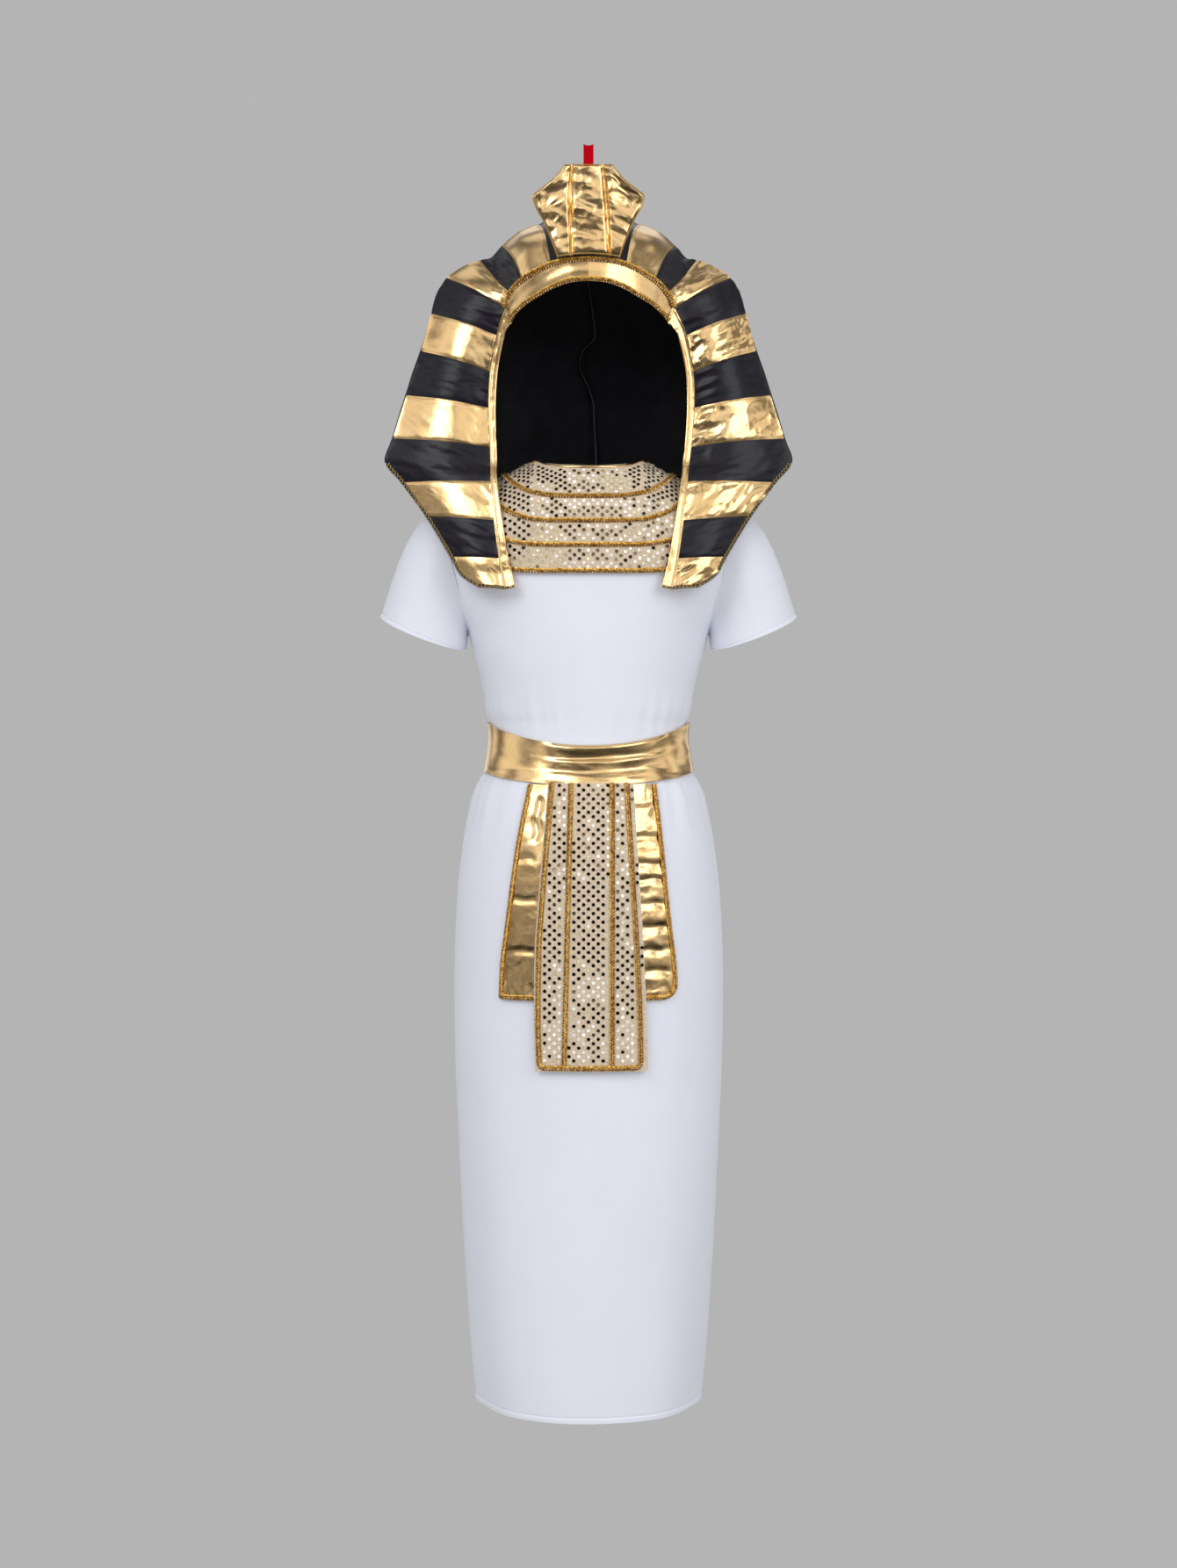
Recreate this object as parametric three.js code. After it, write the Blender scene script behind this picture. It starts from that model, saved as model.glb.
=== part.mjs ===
// A child's pharaoh costume, worn with no wearer: a short-sleeved white robe, a round sequinned collar,
// a gold sash with a hanging apron, and a striped headdress with a cobra plate.
// Sizes are in millimetres, +Z is up and the front faces -Y. The origin is on the neck's axis, level with
// the collar at the neck's sides, where the wearer's shoulders carry the costume.
import * as THREE from "three";
import { mergeVertices } from "three/addons/utils/BufferGeometryUtils.js";

const CLOTH = 1.5; // robe, collar and headdress cloth
const SEAM = 0.3; // between pieces that are sewn together
const BRAID_THICK = 1.8;
const HEM_Z = -981.6;
const ARMPIT_Z = -180;
const NECK_HALF = 55;
const NECK_TOP = -7;
const NECK_DEPTH = { front: 61, back: 48 };
const NECK_DROP = { front: 10, back: 4 }; // below the neck's top, at the centre
const SHOULDER_SLOPE = 0.475; // fall for each millimetre out from the neck point
const SHOULDER_X = 154;
const SHOULDER_ROUND = 70; // height over which the shoulder rounds into the chest
const CUFF = { x: 173, z: -181.5, reach: 43.1, rise: 15.9, depth: 46, dip: 10, dipIn: 3 };

// The robe's rings from the hem to the armpit.
const RINGS = [
  { z: HEM_Z, half: 116.4, front: 110.5, back: 108 },
  { z: -926, half: 121.9, front: 113, back: 110 },
  { z: -816, half: 129.3, front: 116, back: 113 },
  { z: -706, half: 134.8, front: 118, back: 114 },
  { z: -595, half: 138.9, front: 119, back: 115 },
  { z: -540, half: 139.2, front: 118.5, back: 115 },
  { z: -457, half: 136, front: 115, back: 113 },
  { z: -402, half: 129.8, front: 109, back: 107 },
  { z: -374, half: 124.5, front: 103, back: 101 },
  { z: -350, half: 118.8, front: 96, back: 94 },
  { z: -335, half: 111.5, front: 90, back: 88 },
  { z: -324, half: 104.5, front: 86, back: 84 },
  { z: -306, half: 101.5, front: 83.5, back: 81 },
  { z: -288, half: 100, front: 82, back: 80 },
  { z: -277, half: 101, front: 82.2, back: 80.2 },
  { z: -266, half: 105, front: 83, back: 81.5 },
  { z: -246, half: 108, front: 84.5, back: 82.5 },
  { z: -213, half: 116, front: 87, back: 84.5 },
  { z: ARMPIT_Z, half: 125, front: 88.5, back: 85 },
];

// The lower skirt falls flatter towards its side seams.
const SIDE_CREASE = { hem: 0.5, from: -700, power: 8 };

// Above the armpit the chest runs on under the arms: half is where its front and back would meet.
const CHEST = [
  { z: ARMPIT_Z, half: 125, front: 88.5, back: 85 },
  { z: -150, half: 143, front: 88.5, back: 85.5 },
  { z: -120, half: 160, front: 88, back: 86 },
  { z: -85, half: 180, front: 86, back: 86 },
  { z: -55, half: 192, front: 84, back: 85 },
  { z: 0, half: 200, front: 80, back: 84 },
];

const ARMHOLE_X = [
  { z: ARMPIT_Z, x: 125 },
  { z: -150, x: 130 },
  { z: -118, x: 138 },
  { z: -85, x: 146 },
  { z: NECK_TOP - (SHOULDER_X - NECK_HALF) * SHOULDER_SLOPE, x: SHOULDER_X },
];

const COLLAR = { tipX: 161, frontZ: -126, backZ: -114, bendFrom: 140, bend: 0.003, squareness: 4.4, lift: 12, liftFrom: 118, liftOver: 58, clear: 2, crowding: 1.5 };
const COLLAR_BRAIDS = [0.3, 0.525, 0.745, 0.985]; // shares of the way from the neckline to the rim
const COLLAR_BRAID_HALF = 2.6;

const SASH = { frontTop: -301, frontBottom: -341.5, sideTop: -275, sideBottom: -326.6, out: 2.9, thick: 1.6 };

// The apron's panels hang from the sash: half widths are to the wearer's right and left.
const UNDER_PANEL = [
  { z: -346.5, right: 59.5, left: 67 },
  { z: -401, right: 70.8, left: 73.3 },
  { z: -482, right: 81.5, left: 81.3 },
  { z: -523, right: 86.5, left: 86.2 },
  { z: -557, right: 88, left: 88 },
];
const TOP_PANEL = [
  { z: -346.5, right: 38.8, left: 43 },
  { z: -390, right: 42.5, left: 45.6 },
  { z: -470, right: 48.8, left: 50.4 },
  { z: -511, right: 51.2, left: 52.6 },
  { z: -571, right: 51.8, left: 55.2 },
  { z: -627, right: 50.5, left: 56.3 },
];
const UNDER_CORNERS = { right: 2, left: 15 };
const PUCKERS = { count: 9, high: 1.8, wide: 30, inset: 6, top: -350, bottom: -545 }; // down its left side
const APRON_BRAID_HALF = 2.4;
const APRON_CLEAR = 1.1; // between the robe's cloth and the apron's
// Braid round each panel: how far its middle is set in, and how it rounds the two lower corners.
const UNDER_BRAID = { right: 2.6, left: 2.6, foot: 2.6, corner: { right: 4, left: 13 } };
const TOP_BRAID = { right: 4, left: 6.6, foot: 3.6, corner: { right: 5, left: 6 } };
const INNER_BRAIDS = [
  { name: "apron_braid_right", topX: -16.6, bottomX: -23.2 },
  { name: "apron_braid_left", topX: 22.5, bottomX: 22.2 },
];

// Rows of the headdress's striped front, from its centre over the temple and down to the lappet's end,
// on the wearer's left. edge is the face edge, seam is where the stripes meet the brow band or the
// lappet's binding, and rim is the outer edge. swell moves the middle of a row out along Y and Z.
// back is the centre-back seam at that row, as Y and Z, and hug how long the back stays behind the rim.
const ROWS = [
  { edge: [0, -94, 167.7], seam: [0, -93, 190], rim: [0, -8, 255.7], swell: [-7, 8], back: [-5, 255.9], hug: 1 },
  { edge: [18.6, -91.5, 166.5], seam: [20.4, -91, 189], rim: [26.5, -7, 252.9], swell: [-7, 8], back: [20, 254.5], hug: 1 },
  { edge: [35.6, -85, 161.5], seam: [37.5, -85.5, 186.3], rim: [51.5, -6, 243.8], swell: [-7, 8], back: [46, 246], hug: 1 },
  { edge: [49.1, -78, 155], seam: [54.5, -77, 180], rim: [73, -4, 235.5], swell: [-6, 8], back: [63, 235], hug: 1 },
  { edge: [60.9, -70, 149.4], seam: [66.7, -68, 173.8], rim: [89.2, -2, 222.1], swell: [-4, 5], back: [76, 220], hug: 1.05 },
  { edge: [69.2, -63, 143.6], seam: [73.6, -62, 168.8], rim: [101.2, -1, 209.9], swell: [-1, 1], back: [83, 207], hug: 1.2 },
  { edge: [74.7, -58, 139.2], seam: [79.2, -57, 162.6], rim: [112.8, -3, 206.5], swell: [1, -2], back: [87, 196], hug: 1.5 },
  { edge: [78, -54, 135.4], seam: [83.4, -53, 156.1], rim: [130.3, -7, 199.3], swell: [-5, 1], back: [90, 186], hug: 1.8 },
  { edge: [79.8, -51.5, 133.1], seam: [86.6, -50.5, 148.6], rim: [147.1, -11, 187], swell: [-9, 1], back: [93, 175], hug: 2 },
  { edge: [85.5, -49, 127.1], seam: [92.6, -48, 135.4], rim: [157.4, -13, 170.3], swell: [-11, 0], back: [95, 160], hug: 2.1 },
  { edge: [89.6, -47, 117.6], seam: [97.2, -46, 121.4], rim: [163.2, -16, 149.2], swell: [-12, 0], back: [97, 140], hug: 2.1 },
  { edge: [96.6, -44.5, 84.6], seam: [104.5, -44, 84.2], rim: [173.5, -20, 109.6], swell: [-13, 0], back: [98.5, 98], hug: 2 },
  { edge: [98.4, -45.5, 46.5], seam: [105.8, -45, 46.9], rim: [188.2, -24, 62.9], swell: [-13, 0], back: [98.5, 45], hug: 1.8 },
  { edge: [96.5, -50.5, 6], seam: [103.3, -50, 6], rim: [202, -28, 17.7], swell: [-12, 0], back: [99, -30], hug: 1.5 },
  { edge: [95, -54.5, -12.5], seam: [101.8, -54, -12.5], rim: [209.6, -30, -6.7], swell: [-11, 0], back: [100, -95], hug: 1.2 },
  { edge: [93.5, -67, -31.3], seam: [100.2, -65.5, -31.3], rim: [192.4, -39, -29.1], swell: [-9, 0] },
  { edge: [87.7, -81.5, -72.1], seam: [95.7, -79.2, -72.5], rim: [165.9, -55, -65.5], swell: [-6, 0] },
  { edge: [81, -86.5, -111.6], seam: [90.8, -85, -111.6], rim: [139.7, -71, -108.6], swell: [-4, 0] },
  { edge: [77.3, -88.5, -126.2], seam: [88, -87, -128], rim: [129.4, -76, -127.1], swell: [-3, 0] },
  { edge: [74, -92, -140.7], seam: [84.8, -90.5, -142.9], rim: [112.1, -84, -139.3], swell: [-2, 0] },
];
const FACE_SHIFT = { by: 3.2, row: 11, rows: 3.2 }; // the face opening's lean to the wearer's left
const TEMPLE_ROW = 8; // the brow band ends and the lappet's binding begins
const CORNER_ROW = 14; // the lappet's outer corner, where the back's hem starts
const STRIPES = [
  { name: "crown_gold", from: 2, to: 4, cloth: "gold" },
  { name: "crown_black", from: 4, to: 6, cloth: "black" },
  { name: "lappet_gold_1", from: 6, to: 8, cloth: "gold" },
  { name: "lappet_black_2", from: 8, to: 10, cloth: "black" },
  { name: "lappet_gold_3", from: 10, to: 11, cloth: "gold" },
  { name: "lappet_black_4", from: 11, to: 12, cloth: "black" },
  { name: "lappet_gold_5", from: 12, to: 13, cloth: "gold" },
  { name: "lappet_black_6", from: 13, to: 15, cloth: "black" },
  { name: "lappet_gold_7", from: 15, to: 16, cloth: "gold" },
  { name: "lappet_black_8", from: 16, to: 17, cloth: "black" },
  { name: "lappet_gold_9", from: 17, to: 19, cloth: "gold" },
];
const BROW_BRAID_HALF = 3.2;
const BROW_EDGE_BRAID = { half: 2.6, inset: 2.6 };

// Half the cobra plate's outline, from its top to its foot, with the two seams beside its middle panel.
const COBRA = [
  { z: 284.1, half: 23.4, seamRight: 18.1, seamLeft: 15 },
  { z: 277, half: 29, seamRight: 18.1, seamLeft: 15.5 },
  { z: 269.5, half: 35.7, seamRight: 18.1, seamLeft: 16 },
  { z: 261.1, half: 47.2, seamRight: 18.1, seamLeft: 16.7 },
  { z: 253.9, half: 56.4, seamRight: 18.1, seamLeft: 17.4 },
  { z: 245, half: 53.6, seamRight: 18.1, seamLeft: 18.2 },
  { z: 231, half: 45.9, seamRight: 18.1, seamLeft: 19.4 },
  { z: 212, half: 38, seamRight: 18.1, seamLeft: 21 },
  { z: 193.7, half: 31.4, seamRight: 18.1, seamLeft: 22.1 },
];
const COBRA_PLATE = { footY: -96.2, topY: -99, thick: 2.2, backing: 1.5, footArch: 4.6 };
const TONGUE = { half: 5.1, top: 304.4, notch: 1.4, thick: 1.2 };

const COLOURS = {
  white: { color: 0xe9ebf4, roughness: 0.8, metalness: 0 },
  gold: { color: 0xe0b873, roughness: 0.3, metalness: 0.85 },
  black: { color: 0x1d1b24, roughness: 0.45, metalness: 0 },
  sequin: { color: 0xd9ccb0, roughness: 0.5, metalness: 0.3 },
  braid: { color: 0xc99a3a, roughness: 0.4, metalness: 0.7 },
  red: { color: 0xc4000f, roughness: 0.5, metalness: 0 },
};
const material = Object.fromEntries(
  Object.entries(COLOURS).map(([name, look]) => [name, new THREE.MeshStandardMaterial(look)]),
);

const root = new THREE.Group();
const lerp = THREE.MathUtils.lerp;
const clamp = THREE.MathUtils.clamp;
const vec = (x, y, z) => new THREE.Vector3(x, y, z);
const sin = (degrees) => Math.sin(THREE.MathUtils.degToRad(degrees));
const cos = (degrees) => Math.cos(THREE.MathUtils.degToRad(degrees));

// A value that runs smoothly through equally spaced knots, at a place counted in knots.
function smoothKnots(values, at) {
  const last = values.length - 1;
  const i = clamp(Math.floor(at), 0, last - 1);
  const t = at - i;
  const before = values[Math.max(i - 1, 0)];
  const after = values[Math.min(i + 2, last)];
  const [a, b] = [values[i], values[i + 1]];
  const [slopeA, slopeB] = [(b - before) / 2, (after - a) / 2];
  const t2 = t * t;
  const t3 = t2 * t;
  return a * (2 * t3 - 3 * t2 + 1) + slopeA * (t3 - 2 * t2 + t) + b * (3 * t2 - 2 * t3) + slopeB * (t3 - t2);
}

// A table's column at height z, with limited slopes, so that it never overshoots a row.
function atHeight(table, column, z) {
  const rising = table[0].z < table[table.length - 1].z ? table : [...table].reverse();
  const last = rising.length - 1;
  const slope = (i) => (rising[i + 1][column] - rising[i][column]) / (rising[i + 1].z - rising[i].z);
  const tangent = (i) => {
    if (i === 0) return slope(0);
    if (i === last) return slope(last - 1);
    const [a, b] = [slope(i - 1), slope(i)];
    return a * b <= 0 ? 0 : (2 * a * b) / (a + b);
  };
  const held = clamp(z, rising[0].z, rising[last].z);
  let i = 0;
  while (i < last - 1 && rising[i + 1].z < held) i += 1;
  const span = rising[i + 1].z - rising[i].z;
  const t = (held - rising[i].z) / span;
  const t2 = t * t;
  const t3 = t2 * t;
  return (
    rising[i][column] * (2 * t3 - 3 * t2 + 1) +
    tangent(i) * span * (t3 - 2 * t2 + t) +
    rising[i + 1][column] * (3 * t2 - 2 * t3) +
    tangent(i + 1) * span * (t3 - t2)
  );
}

// The face's outward normal at (s, t), by central differences.
function normalAt(face, s, t) {
  const step = 1e-3;
  const alongS = face(s + step, t).sub(face(s - step, t));
  const alongT = face(s, t + step).sub(face(s, t - step));
  return alongS.cross(alongT).normalize();
}

// A closed wall of cloth. face(s, t) is its inner side, with s and t from 0 to 1 and s x t facing out.
// lift moves the wall out, and a ring closes on itself along s.
function wall(name, look, face, { columns, rows, ring = false, lift = 0, thick = CLOTH, mirror = false }) {
  const points = [];
  const across = ring ? columns : columns + 1;
  for (const out of [lift + thick, lift]) {
    for (let j = 0; j <= rows; j += 1) {
      for (let i = 0; i < across; i += 1) {
        const [s, t] = [i / columns, j / rows];
        const p = face(s, t).addScaledVector(normalAt(face, s, t), out);
        points.push(mirror ? -p.x : p.x, p.y, p.z);
      }
    }
  }
  const layer = across * (rows + 1);
  const at = (side, i, j) => side * layer + j * across + (i % across);
  const triangles = [];
  const quad = (a, b, c, d) => {
    const faces = mirror ? [c, b, a, d, c, a] : [a, b, c, a, c, d];
    triangles.push(...faces);
  };
  for (let j = 0; j < rows; j += 1) {
    for (let i = 0; i < columns; i += 1) {
      quad(at(0, i, j), at(0, i + 1, j), at(0, i + 1, j + 1), at(0, i, j + 1));
      quad(at(1, i, j + 1), at(1, i + 1, j + 1), at(1, i + 1, j), at(1, i, j));
    }
  }
  for (let i = 0; i < columns; i += 1) {
    quad(at(1, i, 0), at(1, i + 1, 0), at(0, i + 1, 0), at(0, i, 0));
    quad(at(0, i, rows), at(0, i + 1, rows), at(1, i + 1, rows), at(1, i, rows));
  }
  if (!ring) {
    for (let j = 0; j < rows; j += 1) {
      quad(at(0, 0, j), at(0, 0, j + 1), at(1, 0, j + 1), at(1, 0, j));
      quad(at(1, columns, j), at(1, columns, j + 1), at(0, columns, j + 1), at(0, columns, j));
    }
  }
  const geometry = new THREE.BufferGeometry();
  geometry.setAttribute("position", new THREE.Float32BufferAttribute(points, 3));
  geometry.setIndex(triangles);
  const merged = mergeVertices(geometry, 1e-4);
  merged.computeVertexNormals();
  const mesh = new THREE.Mesh(merged, material[look]);
  mesh.name = name;
  root.add(mesh);
}

// The edge of the neck and shoulders: its height above each x.
function topZ(x, side) {
  const out = Math.abs(x);
  if (out >= NECK_HALF) return NECK_TOP - (out - NECK_HALF) * SHOULDER_SLOPE;
  return NECK_TOP - NECK_DROP[side] * (1 - (out / NECK_HALF) ** COLLAR.squareness);
}

// A ring's depth at a share of its half width, as a share of its full depth.
function sectionDepth(share, z) {
  const round = Math.sqrt(Math.max(0, 1 - share ** 2));
  const low = clamp((SIDE_CREASE.from - z) / (SIDE_CREASE.from - HEM_Z), 0, 1);
  return round * (1 - SIDE_CREASE.hem * low * Math.abs(share) ** SIDE_CREASE.power);
}

// How far the robe's front or back stands from the middle plane, at x and z.
function bodyDepth(x, z, side) {
  const table = z > ARMPIT_Z ? CHEST : RINGS;
  const full = atHeight(table, side, z) * sectionDepth(x / atHeight(table, "half", z), z);
  const fromTop = clamp((topZ(x, side) - z) / SHOULDER_ROUND, 0, 1);
  const inNeck = Math.max(0, 1 - (x / NECK_HALF) ** 2);
  const round = (1 - (1 - fromTop) ** 2) ** lerp(0.5, 0.85, inNeck);
  const neck = NECK_DEPTH[side] * Math.sqrt(inNeck);
  return neck + (full - neck) * round;
}

const facing = (side) => (side === "front" ? -1 : 1);
const onBody = (x, z, side) => vec(x, facing(side) * bodyDepth(x, z, side), z);

// The robe's front or back: rings up to the armpit, then a yoke whose top follows neck and shoulders.
const YOKE_ROWS = 9;
const ROBE_ROWS = RINGS.length - 1 + YOKE_ROWS;
const NECK_SHARE = 0.5;
function robeFace(side) {
  const seam = SEAM / 2;
  const last = RINGS.length - 1;
  return (s, t) => {
    const turn = (2 * s - 1) * -facing(side);
    const row = t * ROBE_ROWS;
    if (row <= last) {
      const i = clamp(Math.floor(row), 0, last - 1);
      const z = lerp(RINGS[i].z, RINGS[i + 1].z, row - i);
      const angle = turn * 90;
      const half = atHeight(RINGS, "half", z);
      const depth = atHeight(RINGS, side, z) * sectionDepth(sin(angle), z) + seam;
      return vec(half * sin(angle), facing(side) * depth, z);
    }
    const rise = (row - last) / YOKE_ROWS;
    const share = Math.abs(turn);
    const edgeX =
      share < NECK_SHARE
        ? NECK_HALF * sin((share / NECK_SHARE) * 90)
        : lerp(NECK_HALF, SHOULDER_X, (share - NECK_SHARE) / (1 - NECK_SHARE));
    const top = topZ(edgeX, side);
    const z = lerp(ARMPIT_Z, top, sin(rise * 90));
    const low = 125 * sin(share * 90);
    const high = lerp(low, edgeX, ((z - ARMPIT_Z) / (top - ARMPIT_Z)) ** 0.9);
    const armhole = atHeight(ARMHOLE_X, "x", z);
    const x = Math.sign(turn) * lerp(high, Math.min(high, armhole), share ** 6);
    return vec(x, facing(side) * (bodyDepth(x, z, side) + seam), z);
  };
}

function buildRobe() {
  for (const side of ["front", "back"]) {
    wall(`robe_${side}`, "white", robeFace(side), { columns: 18, rows: ROBE_ROWS });
  }
}

// The armhole's ring, from the shoulder point down the front to the armpit and up the back.
function armholePoint(turn) {
  const z = lerp(ARMPIT_Z, topZ(SHOULDER_X, "front"), (1 + cos(turn)) / 2);
  const side = turn <= 180 ? "front" : "back";
  const x = atHeight(ARMHOLE_X, "x", z);
  return onBody(x, z, side);
}

function cuffPoint(turn) {
  const drop = turn > 0 && turn < 180 ? CUFF.dip * sin(turn) : 0;
  return vec(
    CUFF.x + CUFF.reach * cos(turn) - (CUFF.dipIn / CUFF.dip) * drop,
    -CUFF.depth * sin(turn),
    CUFF.z + CUFF.rise * cos(turn) - drop,
  );
}

// A sleeve leaves the armhole outwards and bends down to the cuff.
const sleeveGap = (top) => SEAM + 0.5 + 2.6 * (1 - top) ** 0.4;
function sleevePoint(s, t) {
  const turn = ((((1 - s) % 1) + 1) % 1) * 360;
  const from = armholePoint(turn);
  const to = cuffPoint(turn);
  const top = (1 + cos(turn)) / 2;
  from.x += sleeveGap(top);
  const out = vec(lerp(4, 115, top), 0, lerp(-18, -33, top));
  const down = vec(lerp(6, 24, top), 0, lerp(-18, -62, top));
  const [t2, t3] = [t * t, t * t * t];
  return from
    .clone()
    .multiplyScalar(2 * t3 - 3 * t2 + 1)
    .addScaledVector(out, t3 - 2 * t2 + t)
    .addScaledVector(to, 3 * t2 - 2 * t3)
    .addScaledVector(down, t3 - t2);
}

function buildSleeves() {
  const face = (s, t) => sleevePoint(s, 1 - t);
  wall("sleeve_left", "white", face, { columns: 18, rows: 6, ring: true });
  wall("sleeve_right", "white", face, { columns: 18, rows: 6, ring: true, mirror: true });
}

// The collar lies on the shoulders: turn is 0 at the front, and share runs from the neckline to the rim.
function collarPoint(turn, share) {
  const side = Math.abs(turn) <= 90 ? "front" : "back";
  const outX = lerp(NECK_HALF, COLLAR.tipX, share);
  const ridge = topZ(outX, side) - COLLAR.bend * Math.max(0, outX - COLLAR.bendFrom) ** 2;
  const low = side === "front" ? COLLAR.frontZ : COLLAR.backZ;
  const bottom = lerp(NECK_TOP - NECK_DROP[side], low, share);
  const x = outX * sin(turn);
  const z = lerp(bottom, ridge, Math.abs(sin(turn)) ** COLLAR.squareness);
  const overArm = THREE.MathUtils.smoothstep(Math.abs(x), COLLAR.liftFrom, COLLAR.liftFrom + COLLAR.liftOver);
  const lift = COLLAR.lift * overArm * Math.abs(cos(turn)) ** 0.5;
  return vec(x, facing(side) * (bodyDepth(x, z, side) + lift), z + 1.2 * overArm);
}

function collarFace(from, to) {
  const slit = 0.2; // degrees kept open at the centre back
  return (s, t) => {
    const share = lerp(from, to, Math.max(1 - t, 0) ** COLLAR.crowding);
    return collarPoint(lerp(-180 + slit, 180 - slit, s), share);
  };
}

function buildCollar() {
  const lift = CLOTH + COLLAR.clear;
  const width = NECK_TOP - NECK_DROP.front - COLLAR.frontZ;
  wall("collar", "sequin", collarFace(0.004, 1), { columns: 40, rows: 7, lift });
  COLLAR_BRAIDS.forEach((share, n) => {
    const half = COLLAR_BRAID_HALF / width;
    const size = { columns: 40, rows: 1, lift: lift + CLOTH + 3 * SEAM, thick: BRAID_THICK };
    wall(`collar_braid_${n + 1}`, "braid", collarFace(share - half, share + half), size);
  });
  const binding = { columns: 40, rows: 1, lift: lift + CLOTH + 4 * SEAM, thick: 1 };
  wall("collar_neck_binding", "braid", collarFace(0.005, 0.035), binding);
}

// The sash goes round the waist and dips at the front.
function sashFace(s, t) {
  const angle = -180 + s * 360;
  const dip = Math.max(0, cos(angle)) ** 1.5;
  const top = lerp(SASH.sideTop, SASH.frontTop, dip);
  const bottom = lerp(SASH.sideBottom, SASH.frontBottom, dip);
  const z = lerp(bottom, top, t);
  const side = Math.abs(angle) <= 90 ? "front" : "back";
  const half = atHeight(RINGS, "half", z) + SASH.out;
  const depth = atHeight(RINGS, side, z) + SASH.out;
  return vec(half * sin(angle), -depth * cos(angle), z);
}

// A panel that lies on the robe's front, between two tabled edges, with rounded lower corners.
function panelFace(table, corners = { right: 0, left: 0 }) {
  const [top, bottom] = [table[0].z, table[table.length - 1].z];
  const edge = (side, z) => {
    const bend = clamp(1 - (z - bottom) / Math.max(corners[side], 1e-6), 0, 1);
    return atHeight(table, side, z) - corners[side] * (1 - Math.sqrt(1 - bend * bend));
  };
  return (s, t) => {
    const z = lerp(bottom, top, t);
    return onBody(lerp(-edge("right", z), edge("left", z), s), z, "front");
  };
}

// The under panel is drawn up along its left braid, so the cloth beside it stands out in small waves.
function puckeredFace(flat) {
  return (s, t) => {
    const p = flat(s, t);
    const across = clamp((atHeight(UNDER_PANEL, "left", p.z) - PUCKERS.inset - p.x) / PUCKERS.wide, 0, 1);
    const down = clamp((PUCKERS.top - p.z) / (PUCKERS.top - PUCKERS.bottom), 0, 1);
    const wave = 0.5 - 0.5 * cos(down * PUCKERS.count * 360);
    p.y -= PUCKERS.high * wave * sin(across * 180) ** 2;
    return p;
  };
}

// The middle line of the braid down a panel's right edge, along its foot and up its left edge.
const EDGE_STEPS = 10;
const CORNER_STEPS = 3;
const FOOT_STEPS = 8;
function borderPath(table, braid) {
  const [top, bottom] = [table[0].z, table[table.length - 1].z];
  const foot = bottom + braid.foot;
  const line = { right: (z) => -(atHeight(table, "right", z) - braid.right), left: (z) => atHeight(table, "left", z) - braid.left };
  const path = [];
  for (const side of ["right", "left"]) {
    const radius = braid.corner[side];
    const inwards = side === "right" ? 1 : -1;
    const half = [];
    for (let n = 0; n <= EDGE_STEPS; n += 1) {
      const z = lerp(top, foot + radius, n / EDGE_STEPS);
      half.push([line[side](z), z]);
    }
    const centre = [line[side](foot + radius) + inwards * radius, foot + radius];
    for (let n = 1; n <= CORNER_STEPS; n += 1) {
      const turn = (90 * n) / CORNER_STEPS;
      half.push([centre[0] - inwards * radius * cos(turn), centre[1] - radius * sin(turn)]);
    }
    path.push(half);
  }
  const [down, up] = path;
  const [from, to] = [down[down.length - 1], up[up.length - 1]];
  const along = [];
  for (let n = 1; n < FOOT_STEPS; n += 1) along.push([lerp(from[0], to[0], n / FOOT_STEPS), foot]);
  return [...down, ...along, ...up.reverse()];
}

// A braid along a path on the robe's front.
function pathFace(path, half) {
  const last = path.length - 1;
  const direction = (i) => {
    const [a, b] = [path[Math.max(i - 1, 0)], path[Math.min(i + 1, last)]];
    return new THREE.Vector2(b[0] - a[0], b[1] - a[1]).normalize();
  };
  return (s, t) => {
    const i = clamp(Math.floor(s * last), 0, last - 1);
    const part = s * last - i;
    const along = direction(i).lerp(direction(i + 1), part).normalize();
    const off = (2 * t - 1) * half;
    const x = lerp(path[i][0], path[i + 1][0], part) - along.y * off;
    return onBody(x, lerp(path[i][1], path[i + 1][1], part) + along.x * off, "front");
  };
}

function buildSashAndApron() {
  wall("sash", "gold", sashFace, { columns: 36, rows: 3, ring: true, thick: SASH.thick });
  const underLift = CLOTH + APRON_CLEAR;
  const topLift = underLift + CLOTH + BRAID_THICK + 4.5 * SEAM;
  const onPanel = (lift) => ({ rows: 1, lift: lift + CLOTH + 2.5 * SEAM, thick: BRAID_THICK });
  const underFace = puckeredFace(panelFace(UNDER_PANEL, UNDER_CORNERS));
  wall("apron_under_panel", "gold", underFace, { columns: 10, rows: 28, lift: underLift });
  wall("apron_top_panel", "sequin", panelFace(TOP_PANEL), { columns: 6, rows: 12, lift: topLift });
  const underPath = borderPath(UNDER_PANEL, UNDER_BRAID);
  const topPath = borderPath(TOP_PANEL, TOP_BRAID);
  const columns = underPath.length - 1;
  wall("apron_under_braid", "braid", pathFace(underPath, APRON_BRAID_HALF), { columns, ...onPanel(underLift) });
  wall("apron_top_braid", "braid", pathFace(topPath, APRON_BRAID_HALF), { columns, ...onPanel(topLift) });
  const [top, foot] = [TOP_PANEL[0].z, TOP_PANEL[TOP_PANEL.length - 1].z];
  const footZ = foot + TOP_BRAID.foot + APRON_BRAID_HALF + SEAM;
  for (const braid of INNER_BRAIDS) {
    const face = (s, t) => {
      const middle = lerp(braid.bottomX, braid.topX, t);
      return onBody(middle + (2 * s - 1) * APRON_BRAID_HALF, lerp(footZ, top, t), "front");
    };
    wall(braid.name, "braid", face, { ...onPanel(topLift), columns: 1, rows: 20 });
  }
}

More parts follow.
